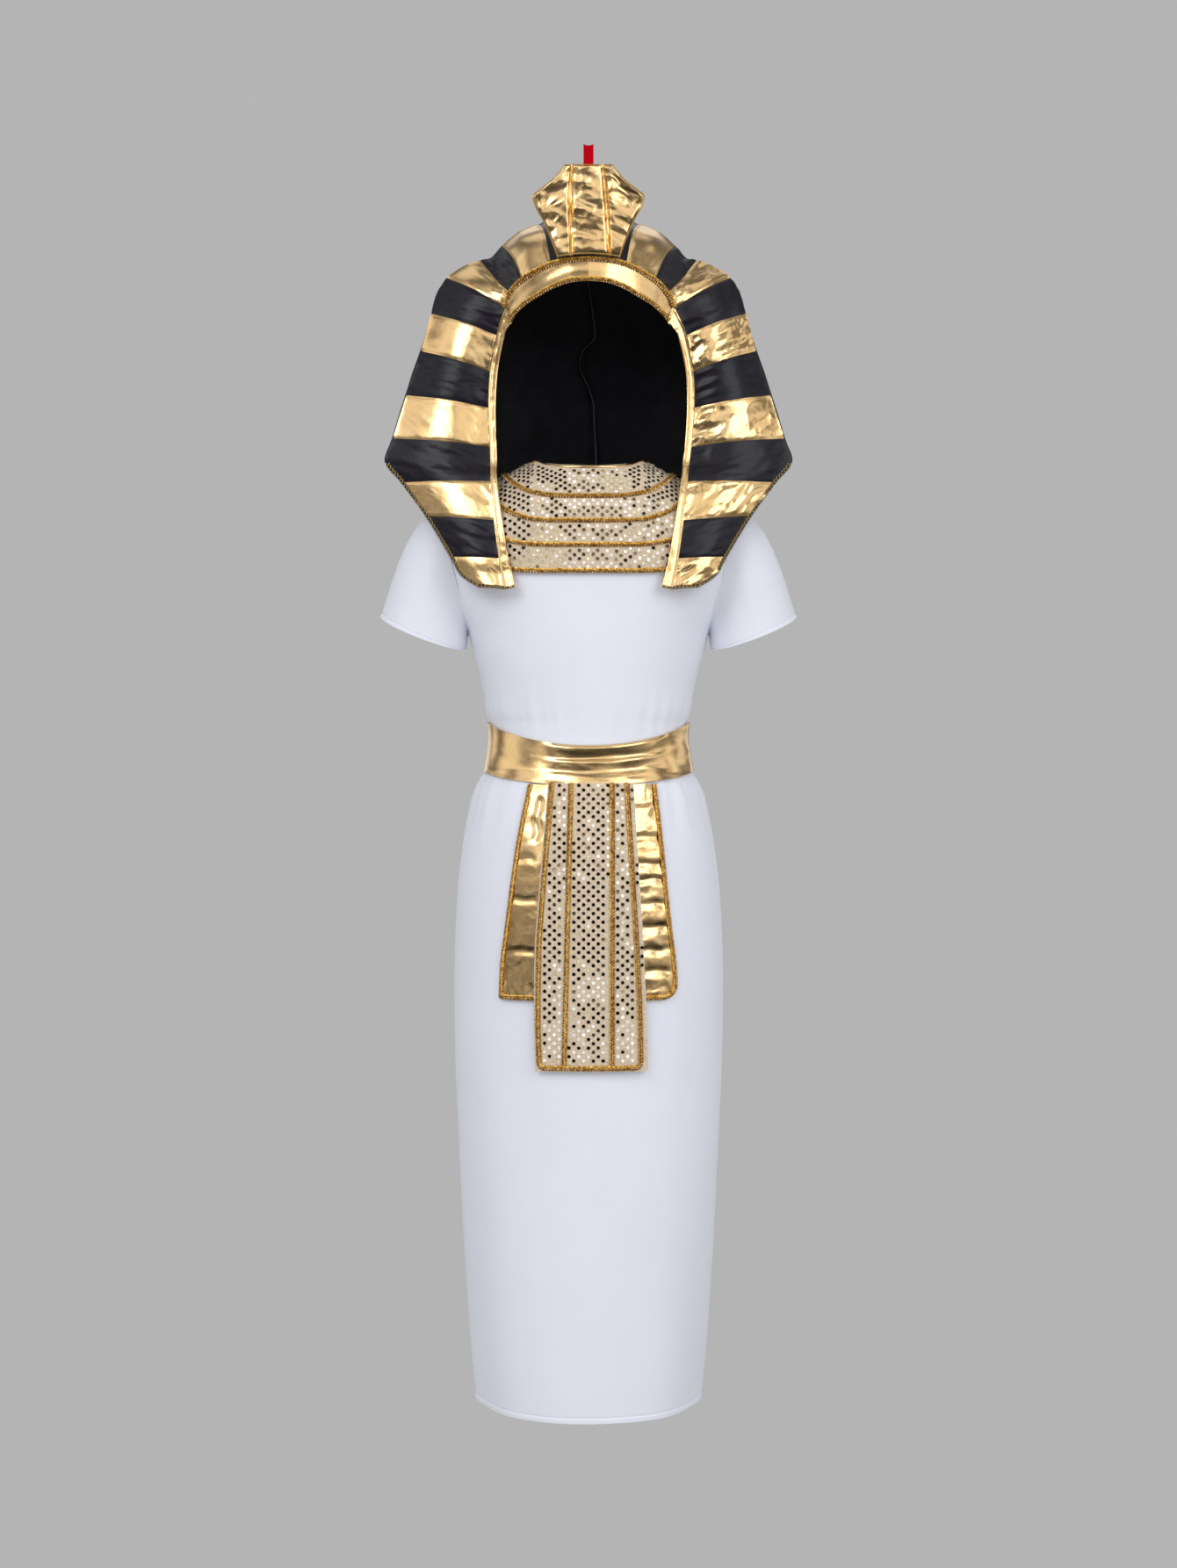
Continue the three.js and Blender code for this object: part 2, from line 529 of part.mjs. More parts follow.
// A named line of the headdress's rows, as a smooth curve counted in rows.
function rowPoint(line, at, side = 0) {
  const p = vec(...[0, 1, 2].map((axis) => smoothKnots(ROWS.map((row) => row[line][axis]), at)));
  const shift = FACE_SHIFT.by * Math.exp(-(((at - FACE_SHIFT.row) / FACE_SHIFT.rows) ** 2));
  if (line !== "rim") p.x += side * shift;
  return p;
}

// The striped front between its seam and its rim: across runs from 0 to 1, and at counts rows.
function stripedPoint(across, at, side = 0) {
  const p = rowPoint("seam", at, side).lerp(rowPoint("rim", at), across);
  const arch = (4 * across * (1 - across)) ** 1.5;
  const swell = (axis) => smoothKnots(ROWS.map((row) => row.swell[axis]), at);
  return p.add(vec(0, swell(0) * arch, swell(1) * arch));
}

const STRIPE_TRIM = 0.002; // share of a row left open at its two ends
function stripeFace(from, to, side) {
  const length = stripedPoint(0.5, from).distanceTo(stripedPoint(0.5, to));
  const open = ((SEAM / 2) * (to - from)) / length;
  return (s, t) => stripedPoint(lerp(STRIPE_TRIM, 1 - STRIPE_TRIM, s), lerp(to - open, from + open, t), side);
}

// The wearer's right is the left's mirror image, but for what the side, 1 or -1, changes.
function onBothSides(name, look, faceOf, size) {
  wall(`${name}_left`, look, faceOf(1), size);
  wall(`${name}_right`, look, faceOf(-1), { ...size, mirror: true });
}

function buildStripes() {
  for (const stripe of STRIPES) {
    const rows = 2 * (stripe.to - stripe.from);
    const faceOf = (side) => stripeFace(stripe.from, stripe.to, side);
    onBothSides(stripe.name, stripe.cloth, faceOf, { columns: 7, rows });
  }
  const crown = (s, t) => {
    const at = (2 * s - 1) * (STRIPES[0].from - 0.01);
    const p = stripedPoint(lerp(STRIPE_TRIM, 1 - STRIPE_TRIM, t), Math.abs(at));
    p.x *= Math.sign(at) || 1;
    return p;
  };
  wall("crown_black_middle", "black", crown, { columns: 8, rows: 7 });
}

// The gold binding between a lappet's stripes and the face.
function bindingFace(side) {
  const last = ROWS.length - 1;
  return (s, t) => {
    const at = lerp(last, TEMPLE_ROW + 0.05, t);
    const [edge, seam] = [rowPoint("edge", at, side), rowPoint("seam", at, side)];
    const open = SEAM / edge.distanceTo(seam);
    return edge.lerp(seam, lerp(0, 1 - open, s));
  };
}

// A strip of the brow, from one temple over the forehead to the other. low and high are set in from the
// face edge and from the crown's seam, in millimetres.
function browFace(low, high) {
  return (s, t) => {
    const at = (2 * s - 1) * (TEMPLE_ROW - 0.06);
    const side = Math.sign(at);
    const [edge, seam] = ["edge", "seam"].map((line) => rowPoint(line, Math.abs(at), side));
    const width = edge.distanceTo(seam);
    const p = edge.lerp(seam, lerp(low(width), high(width), t) / width);
    p.x *= side || 1;
    return p;
  };
}

function buildBrow() {
  const over = CLOTH + SEAM;
  const braid = { columns: 36, rows: 1, lift: over, thick: BRAID_THICK };
  wall("brow_band", "gold", browFace(() => 0, (width) => width - SEAM), { columns: 32, rows: 2 });
  const edgeHalf = BROW_EDGE_BRAID.half;
  const low = browFace(() => 0, () => 2 * edgeHalf);
  wall("brow_edge_braid", "braid", low, braid);
  const high = browFace((width) => width - BROW_BRAID_HALF, (width) => width + BROW_BRAID_HALF);
  wall("brow_seam_braid", "braid", high, { ...braid, lift: over + 0.6 });
  onBothSides("lappet_binding", "gold", bindingFace, { columns: 1, rows: 22 });
}

// The back of the headdress, from its centre seam round to the rim of the striped front.
function hoodBackFace(s, t) {
  const at = lerp(CORNER_ROW, 0, t);
  const rows = ROWS.slice(0, CORNER_ROW + 1);
  const value = (pick) => smoothKnots(rows.map(pick), at);
  const rim = rowPoint("rim", at);
  const [backY, backZ, hug] = [value((row) => row.back[0]), value((row) => row.back[1]), value((row) => row.hug)];
  const inFromRim = 0.012;
  const way = lerp(1, inFromRim, s);
  const turn = way * 90;
  const x = Math.max(lerp(SEAM / 2, rim.x, cos(turn)), SEAM / 2);
  const y = rim.y + 2 * SEAM + (backY - rim.y) * Math.max(sin(turn), 0) ** hug;
  const sag = at > 10 ? 2.4 : 1.4;
  return vec(x, y, lerp(rim.z, backZ, Math.abs(way) ** sag));
}

function buildHoodBack() {
  const face = (s, t) => hoodBackFace(1 - s, t);
  onBothSides("hood_back", "black", () => face, { columns: 10, rows: 14 });
}

// The cobra plate: three padded panels on one backing, standing on the brow's seam.
function cobraPoint(from, to, s, t) {
  const last = COBRA.length - 1;
  const row = clamp(Math.floor((1 - t) * last), 0, last - 1);
  const z = lerp(COBRA[row].z, COBRA[row + 1].z, (1 - t) * last - row);
  const x = lerp(from(z), to(z), s);
  const foot = COBRA_PLATE.footArch * (x / 40) ** 2 * Math.max(0, 1 - t) ** 2;
  const y = lerp(COBRA_PLATE.footY, COBRA_PLATE.topY, t);
  return vec(x, y, z - foot);
}

function buildCobra() {
  const column = (name, sign) => (z) => sign * atHeight(COBRA, name, z);
  const inFrom = (edge, by) => (z) => edge(z) + by;
  const rim = { right: column("half", -1), left: column("half", 1) };
  const seam = { right: column("seamRight", -1), left: column("seamLeft", 1) };
  const panels = [
    { name: "cobra_panel_right", from: rim.right, to: inFrom(seam.right, -SEAM / 2), columns: 3 },
    { name: "cobra_panel_middle", from: inFrom(seam.right, SEAM / 2), to: inFrom(seam.left, -SEAM / 2), columns: 4 },
    { name: "cobra_panel_left", from: inFrom(seam.left, SEAM / 2), to: rim.left, columns: 3 },
  ];
  const { thick, backing } = COBRA_PLATE;
  for (const panel of panels) {
    const face = (s, t) => cobraPoint(panel.from, panel.to, s, t);
    wall(panel.name, "gold", face, { columns: panel.columns, rows: 8, lift: SEAM / 2, thick });
  }
  const back = (s, t) => cobraPoint(rim.right, rim.left, s, t);
  wall("cobra_backing", "gold", back, { columns: 6, rows: 8, lift: -backing - SEAM / 2, thick: backing });
}

function buildTongue() {
  const foot = COBRA[0].z + SEAM;
  const face = (s, t) => {
    const x = lerp(-TONGUE.half, TONGUE.half, s);
    const top = TONGUE.top - TONGUE.notch * sin(s * 180);
    return vec(x, COBRA_PLATE.topY, lerp(foot, top, t));
  };
  wall("tongue", "red", face, { columns: 4, rows: 2, thick: TONGUE.thick });
}

buildRobe();
buildSleeves();
buildCollar();
buildSashAndApron();
buildStripes();
buildBrow();
buildHoodBack();
buildCobra();
buildTongue();

export default root;
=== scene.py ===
import math

import bpy
import numpy as np
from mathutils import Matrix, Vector


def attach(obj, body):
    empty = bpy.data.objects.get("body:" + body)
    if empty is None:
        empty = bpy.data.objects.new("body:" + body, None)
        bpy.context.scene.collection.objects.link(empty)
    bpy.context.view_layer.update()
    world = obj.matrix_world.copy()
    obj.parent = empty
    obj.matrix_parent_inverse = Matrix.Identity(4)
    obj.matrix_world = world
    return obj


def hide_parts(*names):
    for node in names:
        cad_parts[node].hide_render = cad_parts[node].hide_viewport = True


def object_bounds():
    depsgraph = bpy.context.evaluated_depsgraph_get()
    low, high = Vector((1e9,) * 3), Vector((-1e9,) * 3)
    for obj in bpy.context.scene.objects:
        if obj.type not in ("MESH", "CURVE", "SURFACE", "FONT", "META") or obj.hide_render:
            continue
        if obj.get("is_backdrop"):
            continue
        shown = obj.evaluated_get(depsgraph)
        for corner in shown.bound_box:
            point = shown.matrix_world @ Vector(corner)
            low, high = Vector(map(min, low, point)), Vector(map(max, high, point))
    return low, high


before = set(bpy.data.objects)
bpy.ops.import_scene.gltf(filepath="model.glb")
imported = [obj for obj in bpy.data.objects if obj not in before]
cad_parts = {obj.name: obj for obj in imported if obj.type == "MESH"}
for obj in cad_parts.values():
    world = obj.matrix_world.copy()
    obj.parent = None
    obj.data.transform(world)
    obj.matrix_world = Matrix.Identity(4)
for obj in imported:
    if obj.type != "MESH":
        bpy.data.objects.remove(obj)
model_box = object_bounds()
RNG = np.random.default_rng(7)


# The model's sizes
def rows_of(names, *rows):
    return {name: np.array(column, float) for name, column in zip(names.split(), zip(*rows))}


CLOTH = 1.5
SEAM = 0.3
HEM_Z = -981.6
ARMPIT_Z = -180.0
ARMPIT_HALF = 125
NECK_HALF = 55.0
NECK_TOP = -7.0
NECK_DEPTH = {"front": 61.0, "back": 48.0}
NECK_DROP = {"front": 10.0, "back": 4.0}
NECK_CURVE = 4.4
SHOULDER_SLOPE = 0.475
SHOULDER_X = 154.0
SHOULDER_ROUND = 70.0
RINGS = rows_of(
    "z half front back",
    (HEM_Z, 116.4, 110.5, 108),
    (-926, 121.9, 113, 110),
    (-816, 129.3, 116, 113),
    (-706, 134.8, 118, 114),
    (-595, 138.9, 119, 115),
    (-540, 139.2, 118.5, 115),
    (-457, 136, 115, 113),
    (-402, 129.8, 109, 107),
    (-374, 124.5, 103, 101),
    (-350, 118.8, 96, 94),
    (-335, 111.5, 90, 88),
    (-324, 104.5, 86, 84),
    (-306, 101.5, 83.5, 81),
    (-288, 100, 82, 80),
    (-277, 101, 82.2, 80.2),
    (-266, 105, 83, 81.5),
    (-246, 108, 84.5, 82.5),
    (-213, 116, 87, 84.5),
    (ARMPIT_Z, ARMPIT_HALF, 88.5, 85),
)
CREASE_HEM, CREASE_FROM, CREASE_POWER = 0.5, -700.0, 8
CHEST = rows_of(
    "z half front back",
    (ARMPIT_Z, ARMPIT_HALF, 88.5, 85),
    (-150, 143, 88.5, 85.5),
    (-120, 160, 88, 86),
    (-85, 180, 86, 86),
    (-55, 192, 84, 85),
    (0, 200, 80, 84),
)
ARMHOLE = rows_of(
    "z x",
    (ARMPIT_Z, ARMPIT_HALF),
    (-150, 130),
    (-118, 138),
    (-85, 146),
    (NECK_TOP - (SHOULDER_X - NECK_HALF) * SHOULDER_SLOPE, SHOULDER_X),
)
PANEL_TOP = -342.4
UNDER_PANEL = rows_of(
    "z right left",
    (PANEL_TOP, 59.5, 67),
    (-401, 70.8, 73.3),
    (-482, 81.5, 81.3),
    (-523, 86.5, 86.2),
    (-557, 88, 88),
)
TOP_PANEL = rows_of(
    "z right left",
    (PANEL_TOP, 38.8, 43),
    (-390, 42.5, 45.6),
    (-470, 48.8, 50.4),
    (-511, 51.2, 52.6),
    (-571, 51.8, 55.2),
    (-627, 50.5, 56.3),
)
COBRA = rows_of(
    "z half right left",
    (284.1, 23.4, 18.1, 15),
    (277, 29, 18.1, 15.5),
    (269.5, 35.7, 18.1, 16),
    (261.1, 47.2, 18.1, 16.7),
    (253.9, 56.4, 18.1, 17.4),
    (245, 53.6, 18.1, 18.2),
    (231, 45.9, 18.1, 19.4),
    (212, 38, 18.1, 21),
    (193.7, 31.4, 18.1, 22.1),
)
# Rows of the headdress from its centre over the temple and down to the lappet's end: the face edge,
# the seam with the brow band or binding, the rim, and the middle's swell along Y and Z.
ROWS = rows_of(
    "edge_x edge_y edge_z seam_x seam_y seam_z rim_x rim_y rim_z swell_y swell_z",
    (0, -94, 167.7, 0, -93, 190, 0, -8, 255.7, -7, 8),
    (18.6, -91.5, 166.5, 20.4, -91, 189, 26.5, -7, 252.9, -7, 8),
    (35.6, -85, 161.5, 37.5, -85.5, 186.3, 51.5, -6, 243.8, -7, 8),
    (49.1, -78, 155, 54.5, -77, 180, 73, -4, 235.5, -6, 8),
    (60.9, -70, 149.4, 66.7, -68, 173.8, 89.2, -2, 222.1, -4, 5),
    (69.2, -63, 143.6, 73.6, -62, 168.8, 101.2, -1, 209.9, -1, 1),
    (74.7, -58, 139.2, 79.2, -57, 162.6, 112.8, -3, 206.5, 1, -2),
    (78, -54, 135.4, 83.4, -53, 156.1, 130.3, -7, 199.3, -5, 1),
    (79.8, -51.5, 133.1, 86.6, -50.5, 148.6, 147.1, -11, 187, -9, 1),
    (85.5, -49, 127.1, 92.6, -48, 135.4, 157.4, -13, 170.3, -11, 0),
    (89.6, -47, 117.6, 97.2, -46, 121.4, 163.2, -16, 149.2, -12, 0),
    (96.6, -44.5, 84.6, 104.5, -44, 84.2, 173.5, -20, 109.6, -13, 0),
    (98.4, -45.5, 46.5, 105.8, -45, 46.9, 188.2, -24, 62.9, -13, 0),
    (96.5, -50.5, 6, 103.3, -50, 6, 202, -28, 17.7, -12, 0),
    (95, -54.5, -12.5, 101.8, -54, -12.5, 209.6, -30, -6.7, -11, 0),
    (93.5, -67, -31.3, 100.2, -65.5, -31.3, 192.4, -39, -29.1, -9, 0),
    (87.7, -81.5, -72.1, 95.7, -79.2, -72.5, 165.9, -55, -65.5, -6, 0),
    (81, -86.5, -111.6, 90.8, -85, -111.6, 139.7, -71, -108.6, -4, 0),
    (77.3, -88.5, -126.2, 88, -87, -128, 129.4, -76, -127.1, -3, 0),
    (74, -92, -140.7, 84.8, -90.5, -142.9, 112.1, -84, -139.3, -2, 0),
)
BACK = rows_of(
    "y z hug",
    (-5, 255.9, 1),
    (20, 254.5, 1),
    (46, 246, 1),
    (63, 235, 1),
    (76, 220, 1.05),
    (83, 207, 1.2),
    (87, 196, 1.5),
    (90, 186, 1.8),
    (93, 175, 2),
    (95, 160, 2.1),
    (97, 140, 2.1),
    (98.5, 98, 2),
    (98.5, 45, 1.8),
    (99, -30, 1.5),
    (100, -95, 1.2),
)
TEMPLE_ROW = 8
CORNER_ROW = 14
LAST_ROW = 19
STRIPE_ENDS = (2, 4, 6, 8, 10, 11, 12, 13, 15, 16, 17, 19)
STRIPES = []
for number, (start, end) in enumerate(zip(STRIPE_ENDS, STRIPE_ENDS[1:]), -1):
    kind = "gold" if number % 2 else "black"
    name = f"crown_{kind}" if number < 1 else f"lappet_{kind}_{number}"
    STRIPES.append((name, start, end, kind))


# Numbers and curves
def lerp(a, b, t):
    return a + (b - a) * t


def smooth(low, high, value):
    t = np.clip((value - low) / (high - low), 0, 1)
    return t * t * (3 - 2 * t)


def bell(value, middle, width):
    return np.exp(-(((value - middle) / width) ** 2))


def sin(degrees):
    return np.sin(np.radians(degrees))


def cos(degrees):
    return np.cos(np.radians(degrees))


def power(base, exponent):
    return np.maximum(base, 0.0) ** exponent


def vec(x, y, z):
    return np.stack(np.broadcast_arrays(x, y, z), axis=-1).astype(float)


def hermite(a, slope_a, b, slope_b, t):
    t2, t3 = t * t, t * t * t
    from_a = a * (2 * t3 - 3 * t2 + 1) + slope_a * (t3 - 2 * t2 + t)
    return from_a + b * (3 * t2 - 2 * t3) + slope_b * (t3 - t2)


def smooth_knots(values, at):
    last = len(values) - 1
    i = np.clip(np.floor(at).astype(int), 0, last - 1)
    before = values[np.maximum(i - 1, 0)]
    after = values[np.minimum(i + 2, last)]
    a, b = values[i], values[i + 1]
    return hermite(a, (b - before) / 2, b, (after - a) / 2, at - i)


def at_height(table, column, z):
    order = np.argsort(table["z"])
    zs, values = table["z"][order], table[column][order]
    slope = np.diff(values) / np.diff(zs)
    a, b = slope[:-1], slope[1:]
    both = np.where(a + b == 0, 1, a + b)
    inner = np.where(a * b <= 0, 0, 2 * a * b / both)
    tangent = np.concatenate([slope[:1], inner, slope[-1:]])
    held = np.clip(z, zs[0], zs[-1])
    i = np.clip(np.searchsorted(zs, held, side="left") - 1, 0, len(zs) - 2)
    span = zs[i + 1] - zs[i]
    return hermite(values[i], tangent[i] * span, values[i + 1], tangent[i + 1] * span, (held - zs[i]) / span)


# Smooth noise over a field of points, from about -1 to 1.
def noise(p, seed=0):
    cell = np.floor(p).astype(np.int64)
    f = p - cell
    fade = f * f * f * (f * (f * 6 - 15) + 10)
    total = np.zeros(p.shape[:-1])
    for corner in range(8):
        step = np.array([corner & 1, corner >> 1 & 1, corner >> 2 & 1])
        c = cell + step
        h = (c[..., 0] * 73856093) ^ (c[..., 1] * 19349663) ^ (c[..., 2] * 83492791) ^ (seed * 2654435761)
        h = (h ^ (h >> 13)) * 1274126177 & 0x7FFFFFFF
        turn = (h & 1023) / 1023 * 2 * np.pi
        up = ((h >> 10) & 1023) / 511.5 - 1
        flat = np.sqrt(np.maximum(0, 1 - up * up))
        d = f - step
        dot = flat * np.cos(turn) * d[..., 0] + flat * np.sin(turn) * d[..., 1] + up * d[..., 2]
        weight = np.prod(np.where(step == 1, fade, 1 - fade), axis=-1)
        total += weight * dot
    return total * 1.6


# Creased cloth: sharp ridges between soft hollows, from -1 to about 1.
def creases(p, seed=0):
    bent = p + 0.5 * vec(noise(p * 0.7, seed + 11), noise(p * 0.7, seed + 12), noise(p * 0.7, seed + 13))
    return 1 - 2.6 * np.abs(noise(bent, seed))


# Meshes
def mesh_piece(name, made, *nodes, slot, looks, kinds=None, smooth_angle=60):
    points, faces = made
    mesh = bpy.data.meshes.new(name)
    mesh.from_pydata((np.asarray(points, float) * 0.001).tolist(), [], [list(map(int, f)) for f in faces])
    if kinds is not None:
        mesh.polygons.foreach_set("material_index", kinds)
    mesh.polygons.foreach_set("use_smooth", [True] * len(mesh.polygons))
    mesh.set_sharp_from_angle(angle=math.radians(smooth_angle))
    for look in looks:
        mesh.materials.append(MATERIAL[look])
    piece = bpy.data.objects.new(name, mesh)
    bpy.context.scene.collection.objects.link(piece)
    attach(piece, "root")
    if nodes:
        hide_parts(*nodes)
    return piece


# One piece of several meshes, each with its own look.
def mixed_piece(name, parts, *nodes, slot):
    looks = list(dict.fromkeys(look for look, made in parts))
    kinds = [looks.index(look) for look, made in parts for face in made[1]]
    mesh_piece(name, joined([made for look, made in parts]), *nodes, slot=slot, looks=looks, kinds=kinds)


# A piece of cloth that stands for one solid. Its cut, its flat width and length and the share of that
# rectangle that is cloth, is not used.
def cloth_piece(node_name, made, looks, cut, name=None, kinds=None):
    name = name or f"{node_name}_cloth"
    piece = mesh_piece(name, made, node_name, slot=SLOTS[looks[0]], looks=looks, kinds=kinds)


def mirrored(made, mirror):
    points, faces = made
    return (points * np.array([-1, 1, 1]), [face[::-1] for face in faces]) if mirror else made


def unit(v):
    return v / np.maximum(np.linalg.norm(v, axis=-1, keepdims=True), 1e-9)


def normals(face, s, t, step=1e-3):
    return unit(np.cross(face(s + step, t) - face(s - step, t), face(s, t + step) - face(s, t - step)))


def even(count):
    return np.linspace(0, 1, count + 1)


# Rows of a mesh's point numbers, each with its first one again at its end.
def closed(rows):
    return np.concatenate([rows, rows[..., :1]], axis=-1)


def quads_between(low, high):
    return np.stack([low[..., :-1], low[..., 1:], high[..., 1:], high[..., :-1]], axis=-1).reshape(-1, 4)


# A closed wall of cloth over face(s, t), with s x t facing out. relief(s, t, p) moves it out a little.
def wall(face, s, t, ring=False, lift=0.0, thick=CLOTH, mirror=False, relief=None):
    if ring:
        s = s[:-1]
    grid_s, grid_t = np.meshgrid(s, t)
    base = face(grid_s, grid_t)
    normal = normals(face, grid_s, grid_t)
    out = relief(grid_s, grid_t, base) if relief else np.zeros(grid_s.shape)
    points = np.stack([base + normal * (lift + up + out)[..., None] for up in (thick, 0)]).reshape(-1, 3)
    index = np.arange(len(points)).reshape(2, len(t), len(s))
    outer, inner = closed(index) if ring else index
    pairs = [(outer[:-1], outer[1:]), (inner[1:], inner[:-1]), (inner[0], outer[0]), (outer[-1], inner[-1])]
    if not ring:
        pairs += [(outer[:, 0], inner[:, 0]), (inner[:, -1], outer[:, -1])]
    return mirrored((points, np.concatenate([quads_between(*pair) for pair in pairs])), mirror)


# Several meshes' points and faces as one.
def joined(parts):
    points, faces, start = [], [], 0
    for p, f in parts:
        points.append(np.asarray(p, float).reshape(-1, 3))
        faces.extend([[v + start for v in face] for face in f])
        start += len(points[-1])
    return np.concatenate(points), faces


# Threads and braids. A line is a path on cloth with the directions that face out of the cloth along it.
STRAND_PITCH = 4.4
LOOP_PITCH = 3.0
STITCH_RISE = 0.16


# The directions along a line, out of the cloth and across it.
def frame_of(path, outs):
    along = unit(np.gradient(path, axis=0))
    out = unit(outs - along * np.sum(outs * along, axis=1, keepdims=True))
    return along, out, np.cross(along, out)


def length_along(path):
    return np.concatenate([[0], np.cumsum(np.linalg.norm(np.diff(path, axis=0), axis=1))])


# A line's path in even steps, with its directions.
def stepped(line, step):
    run = length_along(line[0])
    at = np.linspace(0, run[-1], max(int(run[-1] / step), 2) + 1)
    path, outs = (np.stack([np.interp(at, run, values[:, k]) for k in range(3)], 1) for values in line)
    return path, *frame_of(path, outs)


def tube(line, radius, flat=1.0, sides=6):
    path = line[0]
    along, out, across = frame_of(*line)
    turn = np.arange(sides) / sides * 2 * np.pi
    ring = across[:, None] * np.cos(turn)[None, :, None] + out[:, None] * np.sin(turn)[None, :, None] * flat
    points = (path[:, None] + ring * radius).reshape(-1, 3)
    index = np.arange(len(points)).reshape(-1, sides)
    rings = closed(index)
    ends = [index[0, ::-1].tolist(), index[-1].tolist()]
    return points, quads_between(rings[:-1], rings[1:]).tolist() + ends


# Two strands wound round each other.
def twisted(line, half, aside):
    path, along, out, across = stepped(line, 0.8)
    path = path + across * aside
    turn = length_along(path) / STRAND_PITCH * 2 * np.pi
    strands = []
    for phase in (0, np.pi):
        c, s = np.cos(turn + phase)[:, None], np.sin(turn + phase)[:, None]
        middle = path + across * c * half * 0.48 + out * s * half * 0.48 * 0.6
        strands.append(tube((middle, out), half * 0.54, flat=0.85, sides=5))
    return joined(strands)


# A thread in small loops beside a cord.
def looped(line, inner, outer):
    path, along, out, across = stepped(line, 0.5)
    turn = length_along(path) / LOOP_PITCH * 2 * np.pi
    reach = (inner + outer) / 2 - (outer - inner) / 2 * np.cos(turn)
    middle = path + across * reach[:, None] + along * (0.36 * LOOP_PITCH * np.sin(turn))[:, None]
    return tube((middle + out * (0.25 * np.sin(turn + 1))[:, None], out), 0.5, sides=4)


# A braid of a twisted cord with small loops beside it, on a dark tape. cord is the cord's side, 1 or -1.
def braid_piece(name, line, half, node_name, cord=-1):
    path, outs = line
    parts = [
        ("tape", tube((path - outs * 0.9, outs), half * 0.86, flat=0.2)),
        ("braid", twisted(line, half * 0.5, cord * half * 0.45)),
        ("loops", looped(line, -cord * half * 0.08, -cord * half)),
    ]
    mixed_piece(name, parts, node_name, slot="braid")


# Small stitches one after another along a line, each a slim body with two ends and four sides.
def stitches(line, length=2.0, gap=0.9, radius=0.44):
    path, along, out, across = stepped(line, length + gap)
    middle = path + out * STITCH_RISE
    half = along * length / 2
    sink = out * STITCH_RISE * 1.6
    ends = [middle - half - sink, middle + half - sink]
    sides = [middle + across * radius, middle + out * radius, middle - across * radius, middle - out * radius]
    points = np.stack(ends + sides, axis=1)[:-1]
    faces = [(0, 2 + (k + 1) % 4, 2 + k) for k in range(4)] + [(1, 2 + k, 2 + (k + 1) % 4) for k in range(4)]
    start = np.arange(len(points)) * 6
    return points.reshape(-1, 3), (start[:, None, None] + np.array(faces)).reshape(-1, 3).tolist()


# A thread that goes over an edge from side to side, as an overlocker sews it.
def overlock(line, width, pitch, radius):
    path, along, out, across = stepped(line, pitch / 6)
    turn = length_along(path) / pitch * 2 * np.pi
    middle = path + across * (np.cos(turn) * width / 2)[:, None]
    middle = middle + along * (0.25 * pitch * np.sin(turn))[:, None]
    return tube((middle + out * (0.3 + 0.15 * np.sin(turn))[:, None], out), radius, sides=5)


# Materials
def node(tree, kind, **values):
    made = tree.nodes.new(kind)
    for key, value in values.items():
        if key in made.inputs:
            made.inputs[key].default_value = value
        else:
            setattr(made, key, value)
    return made


# The colours over one output, each at its place from 0 to 1.
def ramp_over(tree, output, stops):
    ramp = node(tree, "ShaderNodeValToRGB")
    tree.links.new(output, ramp.inputs["Fac"])
    while len(ramp.color_ramp.elements) < len(stops):
        ramp.color_ramp.elements.new(0.5)
    for stop, (at, *colour) in zip(ramp.color_ramp.elements, stops):
        stop.position = at
        stop.color = (*colour, 1)
    return ramp.outputs["Color"]


# A cloth or thread with soft spots of colour. Each bump has a kind, a scale, a depth in metres and a
# strength, and rough is the roughness's range over the spots, where it isn't the same all over.
def make_material(name, sockets, spot_scale, colours, *bumps, rough=None):
    made = MATERIAL[name] = bpy.data.materials.new(name)
    made.use_nodes = True
    tree = made.node_tree
    link = tree.links.new
    shader = tree.nodes["Principled BSDF"]
    for key, value in sockets.items():
        shader.inputs[key].default_value = value
    place = node(tree, "ShaderNodeTexCoord").outputs["Object"]
    spots = node(tree, "ShaderNodeTexNoise", Scale=spot_scale, Detail=4.0, Roughness=0.6)
    link(place, spots.inputs["Vector"])
    link(ramp_over(tree, spots.outputs["Fac"], colours), shader.inputs["Base Color"])
    if rough:
        spread = node(tree, "ShaderNodeMapRange", **{"To Min": rough[0], "To Max": rough[1]})
        link(spots.outputs["Fac"], spread.inputs["Value"])
        link(spread.outputs["Result"], shader.inputs["Roughness"])
    last = None
    for kind, scale, distance, strength in bumps:
        if kind == "weave":
            height = node(tree, "ShaderNodeMath", operation="ADD")
            for n, direction in enumerate("ZX"):
                threads = node(tree, "ShaderNodeTexWave", Scale=scale, bands_direction=direction)
                link(place, threads.inputs["Vector"])
                link(threads.outputs["Fac"], height.inputs[n])
        else:
            height = node(tree, "ShaderNodeTexNoise", Scale=scale, Detail=3.0, Roughness=0.55)
            link(place, height.inputs["Vector"])
        bump = node(tree, "ShaderNodeBump", Strength=strength, Distance=distance)
        link(height.outputs[0], bump.inputs["Height"])
        if last:
            link(last.outputs["Normal"], bump.inputs["Normal"])
        last = bump
    link(last.outputs["Normal"], shader.inputs["Normal"])


